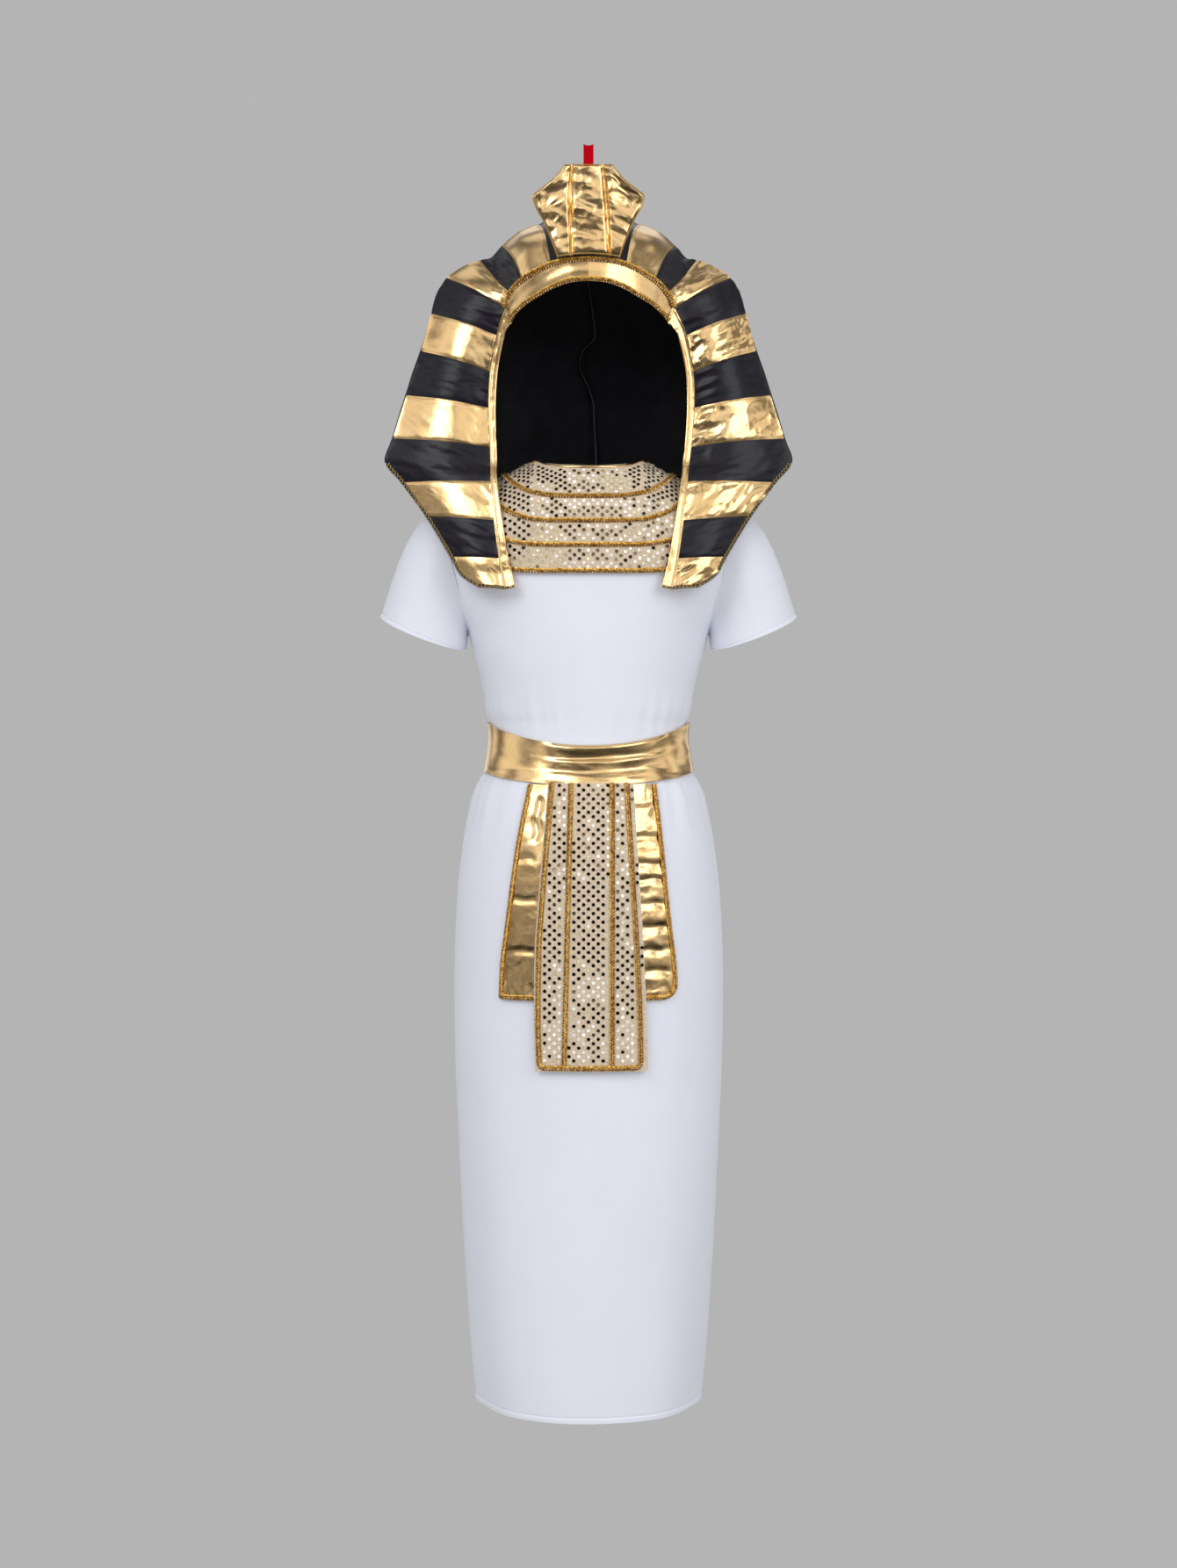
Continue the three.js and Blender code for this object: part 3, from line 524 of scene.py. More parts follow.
SLOTS = {"white": "white_cloth", "gold": "gold_cloth", "black": "black_satin", "cream": "sequin_cloth"}
SLOTS["red"] = "red_ribbon"
MATERIAL = {}
make_material(
    "white",
    {"Roughness": 0.8, "Sheen Weight": 0.2, "Sheen Roughness": 0.5, "Specular IOR Level": 0.2},
    9.0,
    ((0.3, 0.77, 0.79, 0.88), (0.7, 0.8, 0.82, 0.91)),
    ("weave", 320.0, 0.0002, 0.25),
    ("grain", 60.0, 0.002, 0.1),
)
make_material(
    "gold",
    {"Metallic": 1.0},
    45.0,
    ((0.25, 0.8, 0.52, 0.23), (0.5, 0.87, 0.59, 0.28), (0.75, 0.91, 0.65, 0.34)),
    ("grain", 1500.0, 0.0002, 0.12),
    ("grain", 260.0, 0.001, 0.1),
    rough=(0.16, 0.24),
)
SATIN_SHEEN = {"Sheen Weight": 0.05, "Sheen Roughness": 0.35, "Sheen Tint": (0.75, 0.68, 0.95, 1)}
make_material(
    "black",
    {"Roughness": 0.3, "Specular IOR Level": 0.24, **SATIN_SHEEN},
    40.0,
    ((0.3, 0.007, 0.006, 0.01), (0.7, 0.011, 0.0095, 0.016)),
    ("grain", 110.0, 0.002, 0.16),
    ("grain", 1500.0, 0.0002, 0.2),
)
make_material(
    "inside",
    {"Roughness": 0.9, "Specular IOR Level": 0.12},
    40.0,
    ((0.3, 0.008, 0.008, 0.0095), (0.7, 0.014, 0.0135, 0.016)),
    ("grain", 110.0, 0.002, 0.2),
    ("weave", 500.0, 0.0002, 0.3),
)
make_material(
    "cream",
    {"Roughness": 0.7, "Metallic": 0.0, "Sheen Weight": 0.2},
    700.0,
    ((0.35, 0.53, 0.4, 0.27), (0.65, 0.86, 0.72, 0.54)),
    ("weave", 500.0, 0.0003, 0.4),
    ("grain", 900.0, 0.0005, 0.4),
)
make_material(
    "braid",
    {"Metallic": 0.7},
    500.0,
    ((0.38, 0.24, 0.085, 0.008), (0.5, 0.72, 0.38, 0.045), (0.64, 1.0, 0.74, 0.24)),
    ("grain", 1400.0, 0.0004, 0.5),
    rough=(0.25, 0.45),
)
make_material(
    "tape",
    {"Metallic": 0.3, "Roughness": 0.6},
    600.0,
    ((0.35, 0.05, 0.022, 0.008), (0.65, 0.22, 0.11, 0.03)),
    ("grain", 1400.0, 0.0004, 0.4),
)
make_material(
    "loops",
    {"Metallic": 0.6},
    420.0,
    ((0.38, 0.26, 0.09, 0.015), (0.5, 0.72, 0.4, 0.1), (0.64, 1.0, 0.84, 0.5)),
    ("grain", 1400.0, 0.0004, 0.5),
    rough=(0.25, 0.45),
)
for name, sockets, low, high in (
    ("thread", {"Metallic": 0.2, "Roughness": 0.5}, (0.42, 0.26, 0.05), (0.62, 0.42, 0.12)),
    ("black_thread", {"Roughness": 0.5}, (0.008, 0.007, 0.01), (0.02, 0.018, 0.024)),
    ("hood_thread", {"Roughness": 0.55}, (0.05, 0.045, 0.05), (0.12, 0.11, 0.12)),
    ("white_thread", {"Roughness": 0.6}, (0.8, 0.82, 0.9), (0.86, 0.88, 0.95)),
):
    make_material(name, sockets, 500.0, ((0.3, *low), (0.7, *high)), ("grain", 2000.0, 0.0002, 0.3))
make_material(
    "red",
    {"Roughness": 0.6, "Specular IOR Level": 0.03},
    90.0,
    ((0.3, 0.42, 0.0, 0.005), (0.7, 0.52, 0.0, 0.008)),
    ("weave", 700.0, 0.0002, 0.3),
)
COATED = {"Coat Weight": 0.5, "Coat Roughness": 0.1}
for name, sockets, rough, low, high in (
    # The dark sequins' near-black and the pale sequins' near-white are painted reflections, dark and bright.
    ("sequin_painted_dark_reflection", {"Metallic": 0.9}, (0.12, 0.25), (0.006, 0.005, 0.004), (0.02, 0.017, 0.012)),
    ("sequin_pale", {"Metallic": 0.1, **COATED}, (0.15, 0.3), (0.94, 0.9, 0.84), (1.0, 0.99, 0.97)),
    ("sequin_gold", {"Metallic": 0.5, **COATED}, (0.15, 0.3), (0.75, 0.66, 0.4), (0.9, 0.82, 0.55)),
    ("sequin_olive", {"Metallic": 0.8}, (0.15, 0.3), (0.07, 0.06, 0.035), (0.2, 0.17, 0.1)),
):
    colours = ((0.3, *low), (0.7, *high))
    make_material(name, sockets, 200.0, colours, ("grain", 900.0, 0.0003, 0.1), rough=rough)


# The model's surfaces
FACING = {"front": -1, "back": 1}
ROBE_HEIGHTS = RINGS["z"]
RING_ROWS = 18
YOKE_ROWS = 9
ROBE_ROWS = RING_ROWS + YOKE_ROWS
CUFF_MIDDLE = (173, -181.5)
CUFF_HALF = (43.1, 46, 15.9)
CUFF_DROP = 10
COLLAR_OUT = 161.0
COLLAR_LOW = {"front": -126, "back": -114}
COLLAR_TURN = 179.8
SASH_TOP = {"front": -301, "back": -275}
SASH_LOW = {"front": -341.5, "back": -326.6}
SASH_OFF = 2.9
FACE_LEAN = 3.2
PLATE_FOOT_Y, PLATE_TOP_Y = -96.2, -99.0


def top_z(x, side):
    out = np.abs(x)
    inside = NECK_TOP - NECK_DROP[side] * (1 - power(out / NECK_HALF, NECK_CURVE))
    return np.where(out >= NECK_HALF, NECK_TOP - (out - NECK_HALF) * SHOULDER_SLOPE, inside)


def section_depth(share, z):
    low = np.clip((CREASE_FROM - z) / (CREASE_FROM - HEM_Z), 0, 1)
    return np.sqrt(np.maximum(0, 1 - share**2)) * (1 - CREASE_HEM * low * np.abs(share) ** CREASE_POWER)


def body_depth(x, z, side):
    value = lambda column: np.where(z > ARMPIT_Z, at_height(CHEST, column, z), at_height(RINGS, column, z))
    full = value(side) * section_depth(x / value("half"), z)
    from_top = np.clip((top_z(x, side) - z) / SHOULDER_ROUND, 0, 1)
    in_neck = np.maximum(0, 1 - (x / NECK_HALF) ** 2)
    rounded = (1 - (1 - from_top) ** 2) ** lerp(0.5, 0.85, in_neck)
    neck = NECK_DEPTH[side] * np.sqrt(in_neck)
    return neck + (full - neck) * rounded


def on_body(x, z, side="front"):
    return vec(x, FACING[side] * body_depth(x, z, side), z)


# The robe's front or back: rings up to the armpits, and from there rows that end on the shoulder and neck.
def robe_face(side):
    def face(s, t):
        turn = (2 * s - 1) * -FACING[side]
        row = t * ROBE_ROWS
        i = np.clip(np.floor(row).astype(int), 0, RING_ROWS - 1)
        z = lerp(ROBE_HEIGHTS[i], ROBE_HEIGHTS[i + 1], np.clip(row - i, 0, 1))
        low_x = at_height(RINGS, "half", z) * sin(turn * 90)
        low_y = at_height(RINGS, side, z) * section_depth(sin(turn * 90), z) + SEAM / 2
        rise = np.maximum(row - RING_ROWS, 0) / YOKE_ROWS
        share = np.abs(turn)
        neck_x = NECK_HALF * sin(np.minimum(share * 2, 1) * 90)
        edge_x = np.where(share < 0.5, neck_x, lerp(NECK_HALF, SHOULDER_X, share * 2 - 1))
        top = top_z(edge_x, side)
        high_z = lerp(ARMPIT_Z, top, sin(rise * 90))
        part = power((high_z - ARMPIT_Z) / (top - ARMPIT_Z), 0.9)
        high = lerp(ARMPIT_HALF * sin(share * 90), edge_x, part)
        armhole = at_height(ARMHOLE, "x", high_z)
        x = np.sign(turn) * lerp(high, np.minimum(high, armhole), share**6)
        yoke_y = body_depth(x, high_z, side) + SEAM / 2
        low = row <= RING_ROWS
        y = FACING[side] * np.where(low, low_y, yoke_y)
        return vec(np.where(low, low_x, x), y, np.where(low, z, high_z))

    return face


def armhole_point(turn):
    z = lerp(ARMPIT_Z, top_z(np.array(SHOULDER_X), "front"), (1 + cos(turn)) / 2)
    x = at_height(ARMHOLE, "x", z)
    y = np.where(turn <= 180, -body_depth(x, z, "front"), body_depth(x, z, "back"))
    return vec(x, y, z)


def sleeve_face(s, t):
    turn = (1 - s) % 1 * 360
    start = armhole_point(turn)
    top = (1 + cos(turn)) / 2
    drop = np.where((turn > 0) & (turn < 180), CUFF_DROP * sin(turn), 0)
    end_x = CUFF_MIDDLE[0] + CUFF_HALF[0] * cos(turn) - 0.3 * drop
    end_z = CUFF_MIDDLE[1] + CUFF_HALF[2] * cos(turn) - drop
    end = vec(end_x, -CUFF_HALF[1] * sin(turn), end_z)
    start[..., 0] += SEAM + 0.2 + 1.2 * power(1 - top, 0.4)
    out = vec(lerp(4, 115, top), 0, lerp(-18, -33, top))
    down = vec(lerp(6, 24, top), 0, lerp(-18, -62, top))
    return hermite(start, out, end, down, (1 - t)[..., None])


def collar_point(turn, share):
    front = np.abs(turn) <= 90
    out_x = lerp(NECK_HALF, COLLAR_OUT, share)
    x = out_x * sin(turn)
    over_arm = smooth(118, 176, np.abs(x))
    lift = 12 * over_arm * np.abs(cos(turn)) ** 0.5
    made = {}
    for side, low in COLLAR_LOW.items():
        ridge = top_z(out_x, side) - 0.003 * np.maximum(0, out_x - 140) ** 2
        bottom = lerp(NECK_TOP - NECK_DROP[side], low, share)
        z = lerp(bottom, ridge, np.abs(sin(turn)) ** NECK_CURVE)
        made[side] = vec(x, FACING[side] * (body_depth(x, z, side) + lift), z + 1.2 * over_arm)
    return np.where(front[..., None], made["front"], made["back"])


def plain_collar(s, share):
    return collar_point(lerp(-COLLAR_TURN, COLLAR_TURN, s), share)


def collar_face(s, t):
    return plain_collar(s, lerp(0.004, 1, power(1 - t, 1.5)))


def sash_face(s, t):
    angle = -180 + s * 360
    dip = np.maximum(0, cos(angle)) ** 1.5
    low, top = (lerp(edge["back"], edge["front"], dip) for edge in (SASH_LOW, SASH_TOP))
    z = lerp(low, top, t)
    half, front, back = (at_height(RINGS, column, z) + SASH_OFF for column in ("half", "front", "back"))
    return vec(half * sin(angle), -np.where(np.abs(angle) <= 90, front, back) * cos(angle), z)


# A hanging panel with rounded lower corners, each with its own radius.
def panel_face(table, right_corner=0.0, left_corner=0.0):
    top, bottom = table["z"][0], table["z"][-1]

    def edge(side, corner, z):
        bend = np.clip(1 - (z - bottom) / max(corner, 1e-6), 0, 1)
        return at_height(table, side, z) - corner * (1 - np.sqrt(np.maximum(0, 1 - bend * bend)))

    def face(s, t):
        z = lerp(bottom, top, t)
        return on_body(lerp(-edge("right", right_corner, z), edge("left", left_corner, z), s), z)

    return face


# A point of one line of the headdress. Both face edges lean a little to the wearer's left beside the cheek.
def row_point(line, at, side=0):
    p = vec(*(smooth_knots(ROWS[f"{line}_{axis}"], at) for axis in "xyz"))
    if line != "rim":
        p[..., 0] += side * FACE_LEAN * bell(at, 11, 3.2)
    return p


def striped_point(across, at, side=0):
    across = np.asarray(across, float)
    p = lerp(row_point("seam", at, side), row_point("rim", at), across[..., None])
    arch = power(4 * across * (1 - across), 1.5)
    p[..., 1] += smooth_knots(ROWS["swell_y"], at) * arch
    p[..., 2] += smooth_knots(ROWS["swell_z"], at) * arch
    return p


def stripe_face(start, end, side):
    return lambda s, t: striped_point(s, lerp(end, start, t), side)


def crown_face(s, t):
    at = (2 * s - 1) * 1.998
    p = striped_point(t, np.abs(at))
    p[..., 0] *= np.where(at < 0, -1, 1)
    return p


def binding_face(side):
    def face(s, t):
        at = lerp(LAST_ROW, TEMPLE_ROW + 0.02, t)
        return lerp(row_point("edge", at, side), row_point("seam", at, side), s[..., None])

    return face


# A strip of the brow band between two distances from its edge, each worked out from the band's width.
def brow_face(low, high):
    def face(s, t):
        at = (2 * s - 1) * (TEMPLE_ROW - 0.03)
        side = np.where(at < 0, -1.0, 1.0)
        edge, seam = (row_point(line, np.abs(at), side) for line in ("edge", "seam"))
        width = np.linalg.norm(seam - edge, axis=-1)
        p = lerp(edge, seam, (lerp(low(width), high(width), t) / width)[..., None])
        p[..., 0] *= side
        return p

    return face


def hood_face(s, t):
    at = lerp(float(CORNER_ROW), 0.0, t)
    rim = row_point("rim", at)
    back_y, back_z, hug = (smooth_knots(BACK[name], at) for name in ("y", "z", "hug"))
    way = lerp(1, 0.012, 1 - s)
    x = np.maximum(lerp(0.05, rim[..., 0], cos(way * 90)), 0.05)
    y = rim[..., 1] + 0.6 + (back_y - rim[..., 1]) * power(sin(way * 90), hug)
    sag = lerp(1.4, 2.4, smooth(10, 11, at))
    return vec(x, y, lerp(rim[..., 2], back_z, power(way, sag)))


def plate_face(left, right):
    heights = COBRA["z"]
    last = len(heights) - 1

    def face(s, t):
        place = (1 - t) * last
        row = np.clip(np.floor(place).astype(int), 0, last - 1)
        z = lerp(heights[row], heights[row + 1], np.clip(place - row, 0, 1))
        x = lerp(left(z), right(z), s)
        foot = 4.6 * (x / 40) ** 2 * np.maximum(0, 1 - t) ** 2
        return vec(x, lerp(PLATE_FOOT_Y, PLATE_TOP_Y, t), z - foot)

    return face


# Lines on cloth
def face_line(face, s, t, lift, relief=None):
    s, t = np.broadcast_arrays(np.asarray(s, float), np.asarray(t, float))
    n = normals(face, s, t)
    base = face(s, t)
    if relief:
        lift = lift + relief(s, t, base)[..., None]
    return base + n * lift, n


# A line along one side of a piece, a set distance in from its edge. side is bottom, top, left or right.
def along_edge(face, side, distance, lift, relief=None, count=120, low=0.01, high=0.99):
    run = np.linspace(low, high, count)
    zero, one = np.zeros(count), np.ones(count)
    (s0, t0), (s1, t1) = {
        "bottom": ((run, zero), (run, one)),
        "top": ((run, one), (run, zero)),
        "left": ((zero, run), (one, run)),
        "right": ((one, run), (zero, run)),
    }[side]
    share = distance / np.maximum(np.linalg.norm(face(s1, t1) - face(s0, t0), axis=1), 2 * distance + 0.1)
    return face_line(face, lerp(s0, s1, share), lerp(t0, t1, share), lift, relief)


# A line on the front of the body.
def on_front(x, z, lift):
    out = normals(on_body, x, z, 0.5)
    return on_body(x, z) + out * lift, out


# Crumpled metallic cloth: broad soft hollows with sharper creases between them.
def crumpled(p, size, seed, sharp=0.5):
    fold = creases(p / (size * 1.7), seed + 1)
    return noise(p / size, seed) * (1 - sharp) + fold * sharp + 0.16 * creases(p / (size * 0.6), seed + 2)


# Robe and sleeves
HEM_ROW = ROBE_HEIGHTS[1] - ROBE_HEIGHTS[0]
HEM_DEPTH = 5.2
CUFF_HEM = 0.052


# The robe's gathers above and below the sash, soft folds, and the turned hem with its groove.
def robe_relief(side):
    seed = 3 if side == "front" else 23

    def relief(s, t, p):
        z = p[..., 2]
        turn = 2 * s - 1
        line = vec(turn * 9, z / 260, 0)
        fine = vec(turn * 17, z / 150, 4)
        gathered = 1.5 * bell(z, -268, 26) * (z > -300) + 1.9 * bell(z, -352, 40) * (z <= -300)
        folds = gathered * (0.6 * noise(fine, seed) + 0.6 * noise(line, seed + 1))
        skirt = smooth(-360, -520, z) * 1.4 * noise(vec(turn * 3.4, z / 900, 0), seed + 2)
        chest = smooth(-290, -220, z) * smooth(-60, -150, z) * 0.9 * noise(p / 55, seed + 4)
        hem = 0.5 * smooth(HEM_Z + 5.4, HEM_Z + 4.4, z) - 0.5 * bell(z, HEM_Z + HEM_DEPTH, 0.8)
        return folds + skirt + chest + hem

    return relief


def sleeve_relief(s, t, p):
    near = 1 - t
    hem = 0.5 * smooth(0.055, 0.045, t) - 0.5 * bell(t, CUFF_HEM, 0.01)
    folds = 0.8 * noise(vec(cos(s * 360) * 2.2, sin(s * 360) * 2.2, near * 1.2), 31)
    return hem + folds * smooth(0, 0.15, near)


def hem_stitches(name, line, mirror):
    thread = mirrored(stitches(line, 2.2, 0.7, 0.22), mirror)
    mesh_piece(f"{name}_hem_stitches", thread, slot="white_cloth", looks=["white_thread"])


def make_robe():
    low = np.array([0, 2, 3.6, 4.2, 4.8, 5.4, 6.2, 8]) / HEM_ROW / ROBE_ROWS
    t = np.concatenate([low, np.linspace(0.02, 1, 142)[1:]])
    for side in FACING:
        relief = robe_relief(side)
        face = robe_face(side)
        made = wall(face, even(110), t, relief=relief)
        cloth_piece(f"robe_{side}", made, ["white"], (410, 975, 0.9))
        groove = HEM_DEPTH / HEM_ROW / ROBE_ROWS
        hem = face_line(face, np.linspace(0.003, 0.997, 400), groove, CLOTH, relief)
        hem_stitches(f"robe_{side}", hem, False)


def make_sleeves():
    t = np.concatenate([[0, 0.02, 0.036, 0.044, 0.05, 0.056, 0.066], np.linspace(0.09, 1, 46)])
    for side, mirror in (("left", False), ("right", True)):
        made = wall(sleeve_face, even(90), t, ring=True, mirror=mirror, relief=sleeve_relief)
        cloth_piece(f"sleeve_{side}", made, ["white"], (290, 115, 0.75))
        hem = face_line(sleeve_face, np.linspace(0, 1, 200), CUFF_HEM, CLOTH, sleeve_relief)
        hem_stitches(f"sleeve_{side}", hem, mirror)


# Sequins, in groups. The dark group's near-black is a painted dark reflection of the room, and the pale
# group's near-white a painted bright reflection.
SEQUIN_LOOKS = ("sequin_painted_dark_reflection", "sequin_pale", "sequin_gold", "sequin_olive")
PAINTED_DARK_REFLECTION, PAINTED_BRIGHT_REFLECTION, YELLOW, OLIVE = range(4)
SEQUIN_RADIUS = 1.85
SEQUIN_SIDES = 8
SEQUIN_LIFT = 0.45
GRID_ACROSS, GRID_DOWN = 9.2, 4.3
# Patches of sequin looks; the dark and pale looks are painted reflections.
COLLAR_PATCHES = rows_of(
    "x_low x_high z_low z_high look share",
    (-95, -60, -108, -12, PAINTED_DARK_REFLECTION, 0.9),
    (-80, -26, -33, -10, PAINTED_DARK_REFLECTION, 0.85),
    (-37, -21, -73, -12, PAINTED_DARK_REFLECTION, 0.85),
    (43, 95, -50, -12, PAINTED_DARK_REFLECTION, 0.8),
    (-71, -24, -120, -71, YELLOW, 0.85),
    (18, 54, -45, -27, YELLOW, 0.9),
    (-26, 36, -42, -34, OLIVE, 0.9),
    (-26, 36, -60, -50, PAINTED_BRIGHT_REFLECTION, 0.95),
    (-26, 36, -69, -60, OLIVE, 0.9),
    (-26, 36, -92, -81, OLIVE, 0.9),
    (-26, 36, -96, -91, PAINTED_BRIGHT_REFLECTION, 0.95),
    (-26, 36, -104, -98, PAINTED_BRIGHT_REFLECTION, 0.95),
    (-26, 36, -115, -104, OLIVE, 0.8),
    (-26, 36, -123, -115, PAINTED_BRIGHT_REFLECTION, 0.95),
)
APRON_PATCHES = rows_of(
    "x_low x_high z_low z_high look share",
    (-30, -21, -580, -350, PAINTED_BRIGHT_REFLECTION, 0.45),
    (15, 23, -580, -350, PAINTED_BRIGHT_REFLECTION, 0.45),
    (28, 40, -580, -350, PAINTED_BRIGHT_REFLECTION, 0.5),
    (-12, 20, -558, -530, PAINTED_BRIGHT_REFLECTION, 0.85),
    (-60, -24, -622, -574, PAINTED_BRIGHT_REFLECTION, 0.7),
    (24, 60, -622, -574, PAINTED_BRIGHT_REFLECTION, 0.75),
    (-16, 2, -622, -574, PAINTED_BRIGHT_REFLECTION, 0.7),
)


# The look of one sequin: that of the first patch that takes it, or else one drawn by the shares in rest.
def sequin_look(patches, x, z, rest):
    for x_low, x_high, z_low, z_high, look, share in zip(*patches.values()):
        if x_low <= x <= x_high and z_low <= z <= z_high and RNG.random() < share:
            return int(look)
    return int(RNG.choice(4, p=rest))


def make_sequins(name, spots, outs, kinds):
    spots, outs = np.array(spots), np.array(outs)
    turn = (np.arange(SEQUIN_SIDES) / SEQUIN_SIDES * 2 * np.pi)[None, :, None]
    tilt = unit(outs + RNG.normal(0, 0.12, outs.shape))
    side = unit(np.cross(tilt, (0.3, 0.5, 0.81)))
    ring = np.cos(turn) * side[:, None] + np.sin(turn) * np.cross(tilt, side)[:, None]
    ring = spots[:, None] + ring * SEQUIN_RADIUS + tilt[:, None] * 0.35
    points = np.concatenate([ring, (spots + tilt * 0.12)[:, None], (spots - tilt * 0.1)[:, None]], axis=1)
    rim = [(k, (k + 1) % SEQUIN_SIDES) for k in range(SEQUIN_SIDES)]
    one = [(a, b, SEQUIN_SIDES) for a, b in rim] + [(b, a, SEQUIN_SIDES + 1) for a, b in rim]
    start = np.arange(len(spots)) * (SEQUIN_SIDES + 2)
    made = points.reshape(-1, 3), (start[:, None, None] + np.array(one)).reshape(-1, 3)
    kinds = np.repeat(kinds, 2 * SEQUIN_SIDES).tolist()
    mesh_piece(name, made, slot="sequin_cloth", looks=SEQUIN_LOOKS, kinds=kinds, smooth_angle=30)


# Collar
COLLAR_LIFT = CLOTH + 2
COLLAR_TOP = COLLAR_LIFT + CLOTH
COLLAR_BRAIDS = (0.3, 0.525, 0.745, 0.985)
COLLAR_BRAID_HALF = 2.75
GRID_START = -200
# Left of this x most collar sequins take the painted dark reflection.
DARK_REFLECTION_SIDE_X = -60
DARK_REFLECTION_SIDE_SHARES = (0.75, 0.1, 0.1, 0.05)
COLLAR_SHARES = (0.12, 0.45, 0.2, 0.23)


def collar_ring(share, count, lift):
    ring = lambda s, t: plain_collar(s, share + (0.5 - t) * 0.1)
    return face_line(ring, np.linspace(0.0005, 0.9995, count), 0.5, lift)


def collar_relief(s, t, p):
    return 0.5 * noise(p / 24, 41)


# The sequins' grid is laid over the front and the back of the collar apart: its points nearest to the
# crossings of the grid are kept, and those under a braid left out.
def make_collar_sequins():
    s, share = np.meshgrid(np.linspace(0.001, 0.999, 1400), np.linspace(0.055, 0.955, 200))
    p = plain_collar(s, share)
    front = p[..., 1] < 0
    down = p[..., 2] - 0.8 * (np.abs(p[..., 1]) - 75) - GRID_START
    free = np.all([np.abs(share - line) > 0.03 for line in COLLAR_BRAIDS], axis=0)
    spots, outs = [], []
    for half in (front, ~front):
        x, w = p[..., 0][half], down[half]
        row = np.round(w / GRID_DOWN)
        shift = 0.5 * (row % 2)
        column = np.round(x / GRID_ACROSS - shift)
        off = np.hypot(x - (column + shift) * GRID_ACROSS, w - row * GRID_DOWN)
        order = np.lexsort((off, column, row))
        keys = np.stack([row[order], column[order]], 1)
        chosen = order[np.concatenate([[True], np.any(np.diff(keys, axis=0) != 0, axis=1)])]
        chosen = chosen[(off[chosen] < 0.9) & free[half][chosen]]
        place = lambda a, b: plain_collar(a, 1 - b)
        normal = face_line(place, s[half][chosen], 1 - share[half][chosen], 0.0)[1]
        spots.extend(p[half][chosen] + normal * (COLLAR_TOP + SEQUIN_LIFT))
        outs.extend(normal)
    kinds = [
        sequin_look(COLLAR_PATCHES, x, z, DARK_REFLECTION_SIDE_SHARES if x < DARK_REFLECTION_SIDE_X else COLLAR_SHARES)
        for x, y, z in spots
    ]
    make_sequins("collar_sequins", spots, outs, kinds)


def make_collar():
    made = wall(collar_face, even(220), even(36), lift=COLLAR_LIFT, relief=collar_relief)
    cloth_piece("collar", made, ["cream"], (350, 350, 0.68))
    for n, share in enumerate(COLLAR_BRAIDS, 1):
        line = collar_ring(share, 700, COLLAR_TOP + 1.2)
        braid_piece(f"collar_braid_{n}_cord", line, COLLAR_BRAID_HALF, f"collar_braid_{n}")
    band = tube(collar_ring(0.02, 500, COLLAR_TOP + 0.7), 1.5, flat=0.6, sides=8)
    mesh_piece("collar_neck_band", band, "collar_neck_binding", slot="braid", looks=["gold"])
    make_collar_sequins()


# Sash and apron
# The sash's folds in front, by how far below its top edge they are.
SASH_FOLDS = rows_of(
    "z height",
    (0, 0.3),
    (-2, 2.6),
    (-14, -0.9),
    (-17.5, 1.5),
    (-28, -1.1),
    (-33, 0.1),
    (-41, 0.4),
)
# Puckers across the apron's under panel.
PUCKERS = rows_of(
    "z depth width x_from x_to",
    (-360, 1.9, 4.5, 26, 74),
    (-395, 2.0, 4.5, 32, 76),
    (-421, 1.7, 4, 36, 79),
    (-437, 1.6, 3.5, 38, 80),
    (-460, 1.2, 4, 40, 80),
    (-484, 1.9, 4.5, 42, 82),
    (-507, 1.8, 4.5, 44, 84),
    (-528, 1.3, 4, 46, 84),
    (-384, 0.9, 7, -72, -40),
    (-416, 0.9, 4, -80, -48),
    (-456, 1.1, 4, -84, -46),
    (-508, 1.2, 4, -88, -48),
)
APRON_LIFT = CLOTH + 1.1
TOP_LIFT = APRON_LIFT + CLOTH + 1.8 + 4.5 * SEAM
APRON_BRAID_HALF = 2.9
BRAID_RISE = CLOTH + 1.2
APRON_END = TOP_PANEL["z"][-1]
TOP_INSET = {"right": 4, "left": 6.6}
INNER_BRAIDS = {"right": (-16.6, -23.2), "left": (22.5, 22.2)}
SEQUIN_ROWS = (PANEL_TOP - 2.5, -619)
SEQUIN_FIRST_X = -64.4
SEQUIN_MARGIN = 1.5
BRAID_MARGIN = 4.0
# Most apron sequins take the painted dark reflection.
APRON_SHARES = (0.82, 0.06, 0.04, 0.08)


def sash_relief(s, t, p):
    x, y, z = p[..., 0], p[..., 1], p[..., 2]
    middle = smooth(-50, -22, x) * smooth(84, 48, x) * (y < 0)
    wander = 1.6 * noise(vec(x / 30, 0, t * 2), 54)
    bands = at_height(SASH_FOLDS, "height", -40.5 * (1 - t) + wander)
    bands = bands + 0.5 * noise(vec(x / 70, 0, t * 6), 51)
    slanted = noise(vec((x * 0.5 + z) / 15, (x - z * 0.5) / 60, y / 60), 52)
    fine = creases(vec(x / 60, y / 60, t * 3.4), 53)
    rim = smooth(0, 0.06, t) * smooth(1, 0.94, t)
    calm = 0.3 + 0.6 * smooth(40, 90, x) + 0.4 * smooth(-115, -128, x)
    return (bands * middle + calm * (slanted + 0.3 * fine) + 0.35 * middle * fine) * rim + 0.4


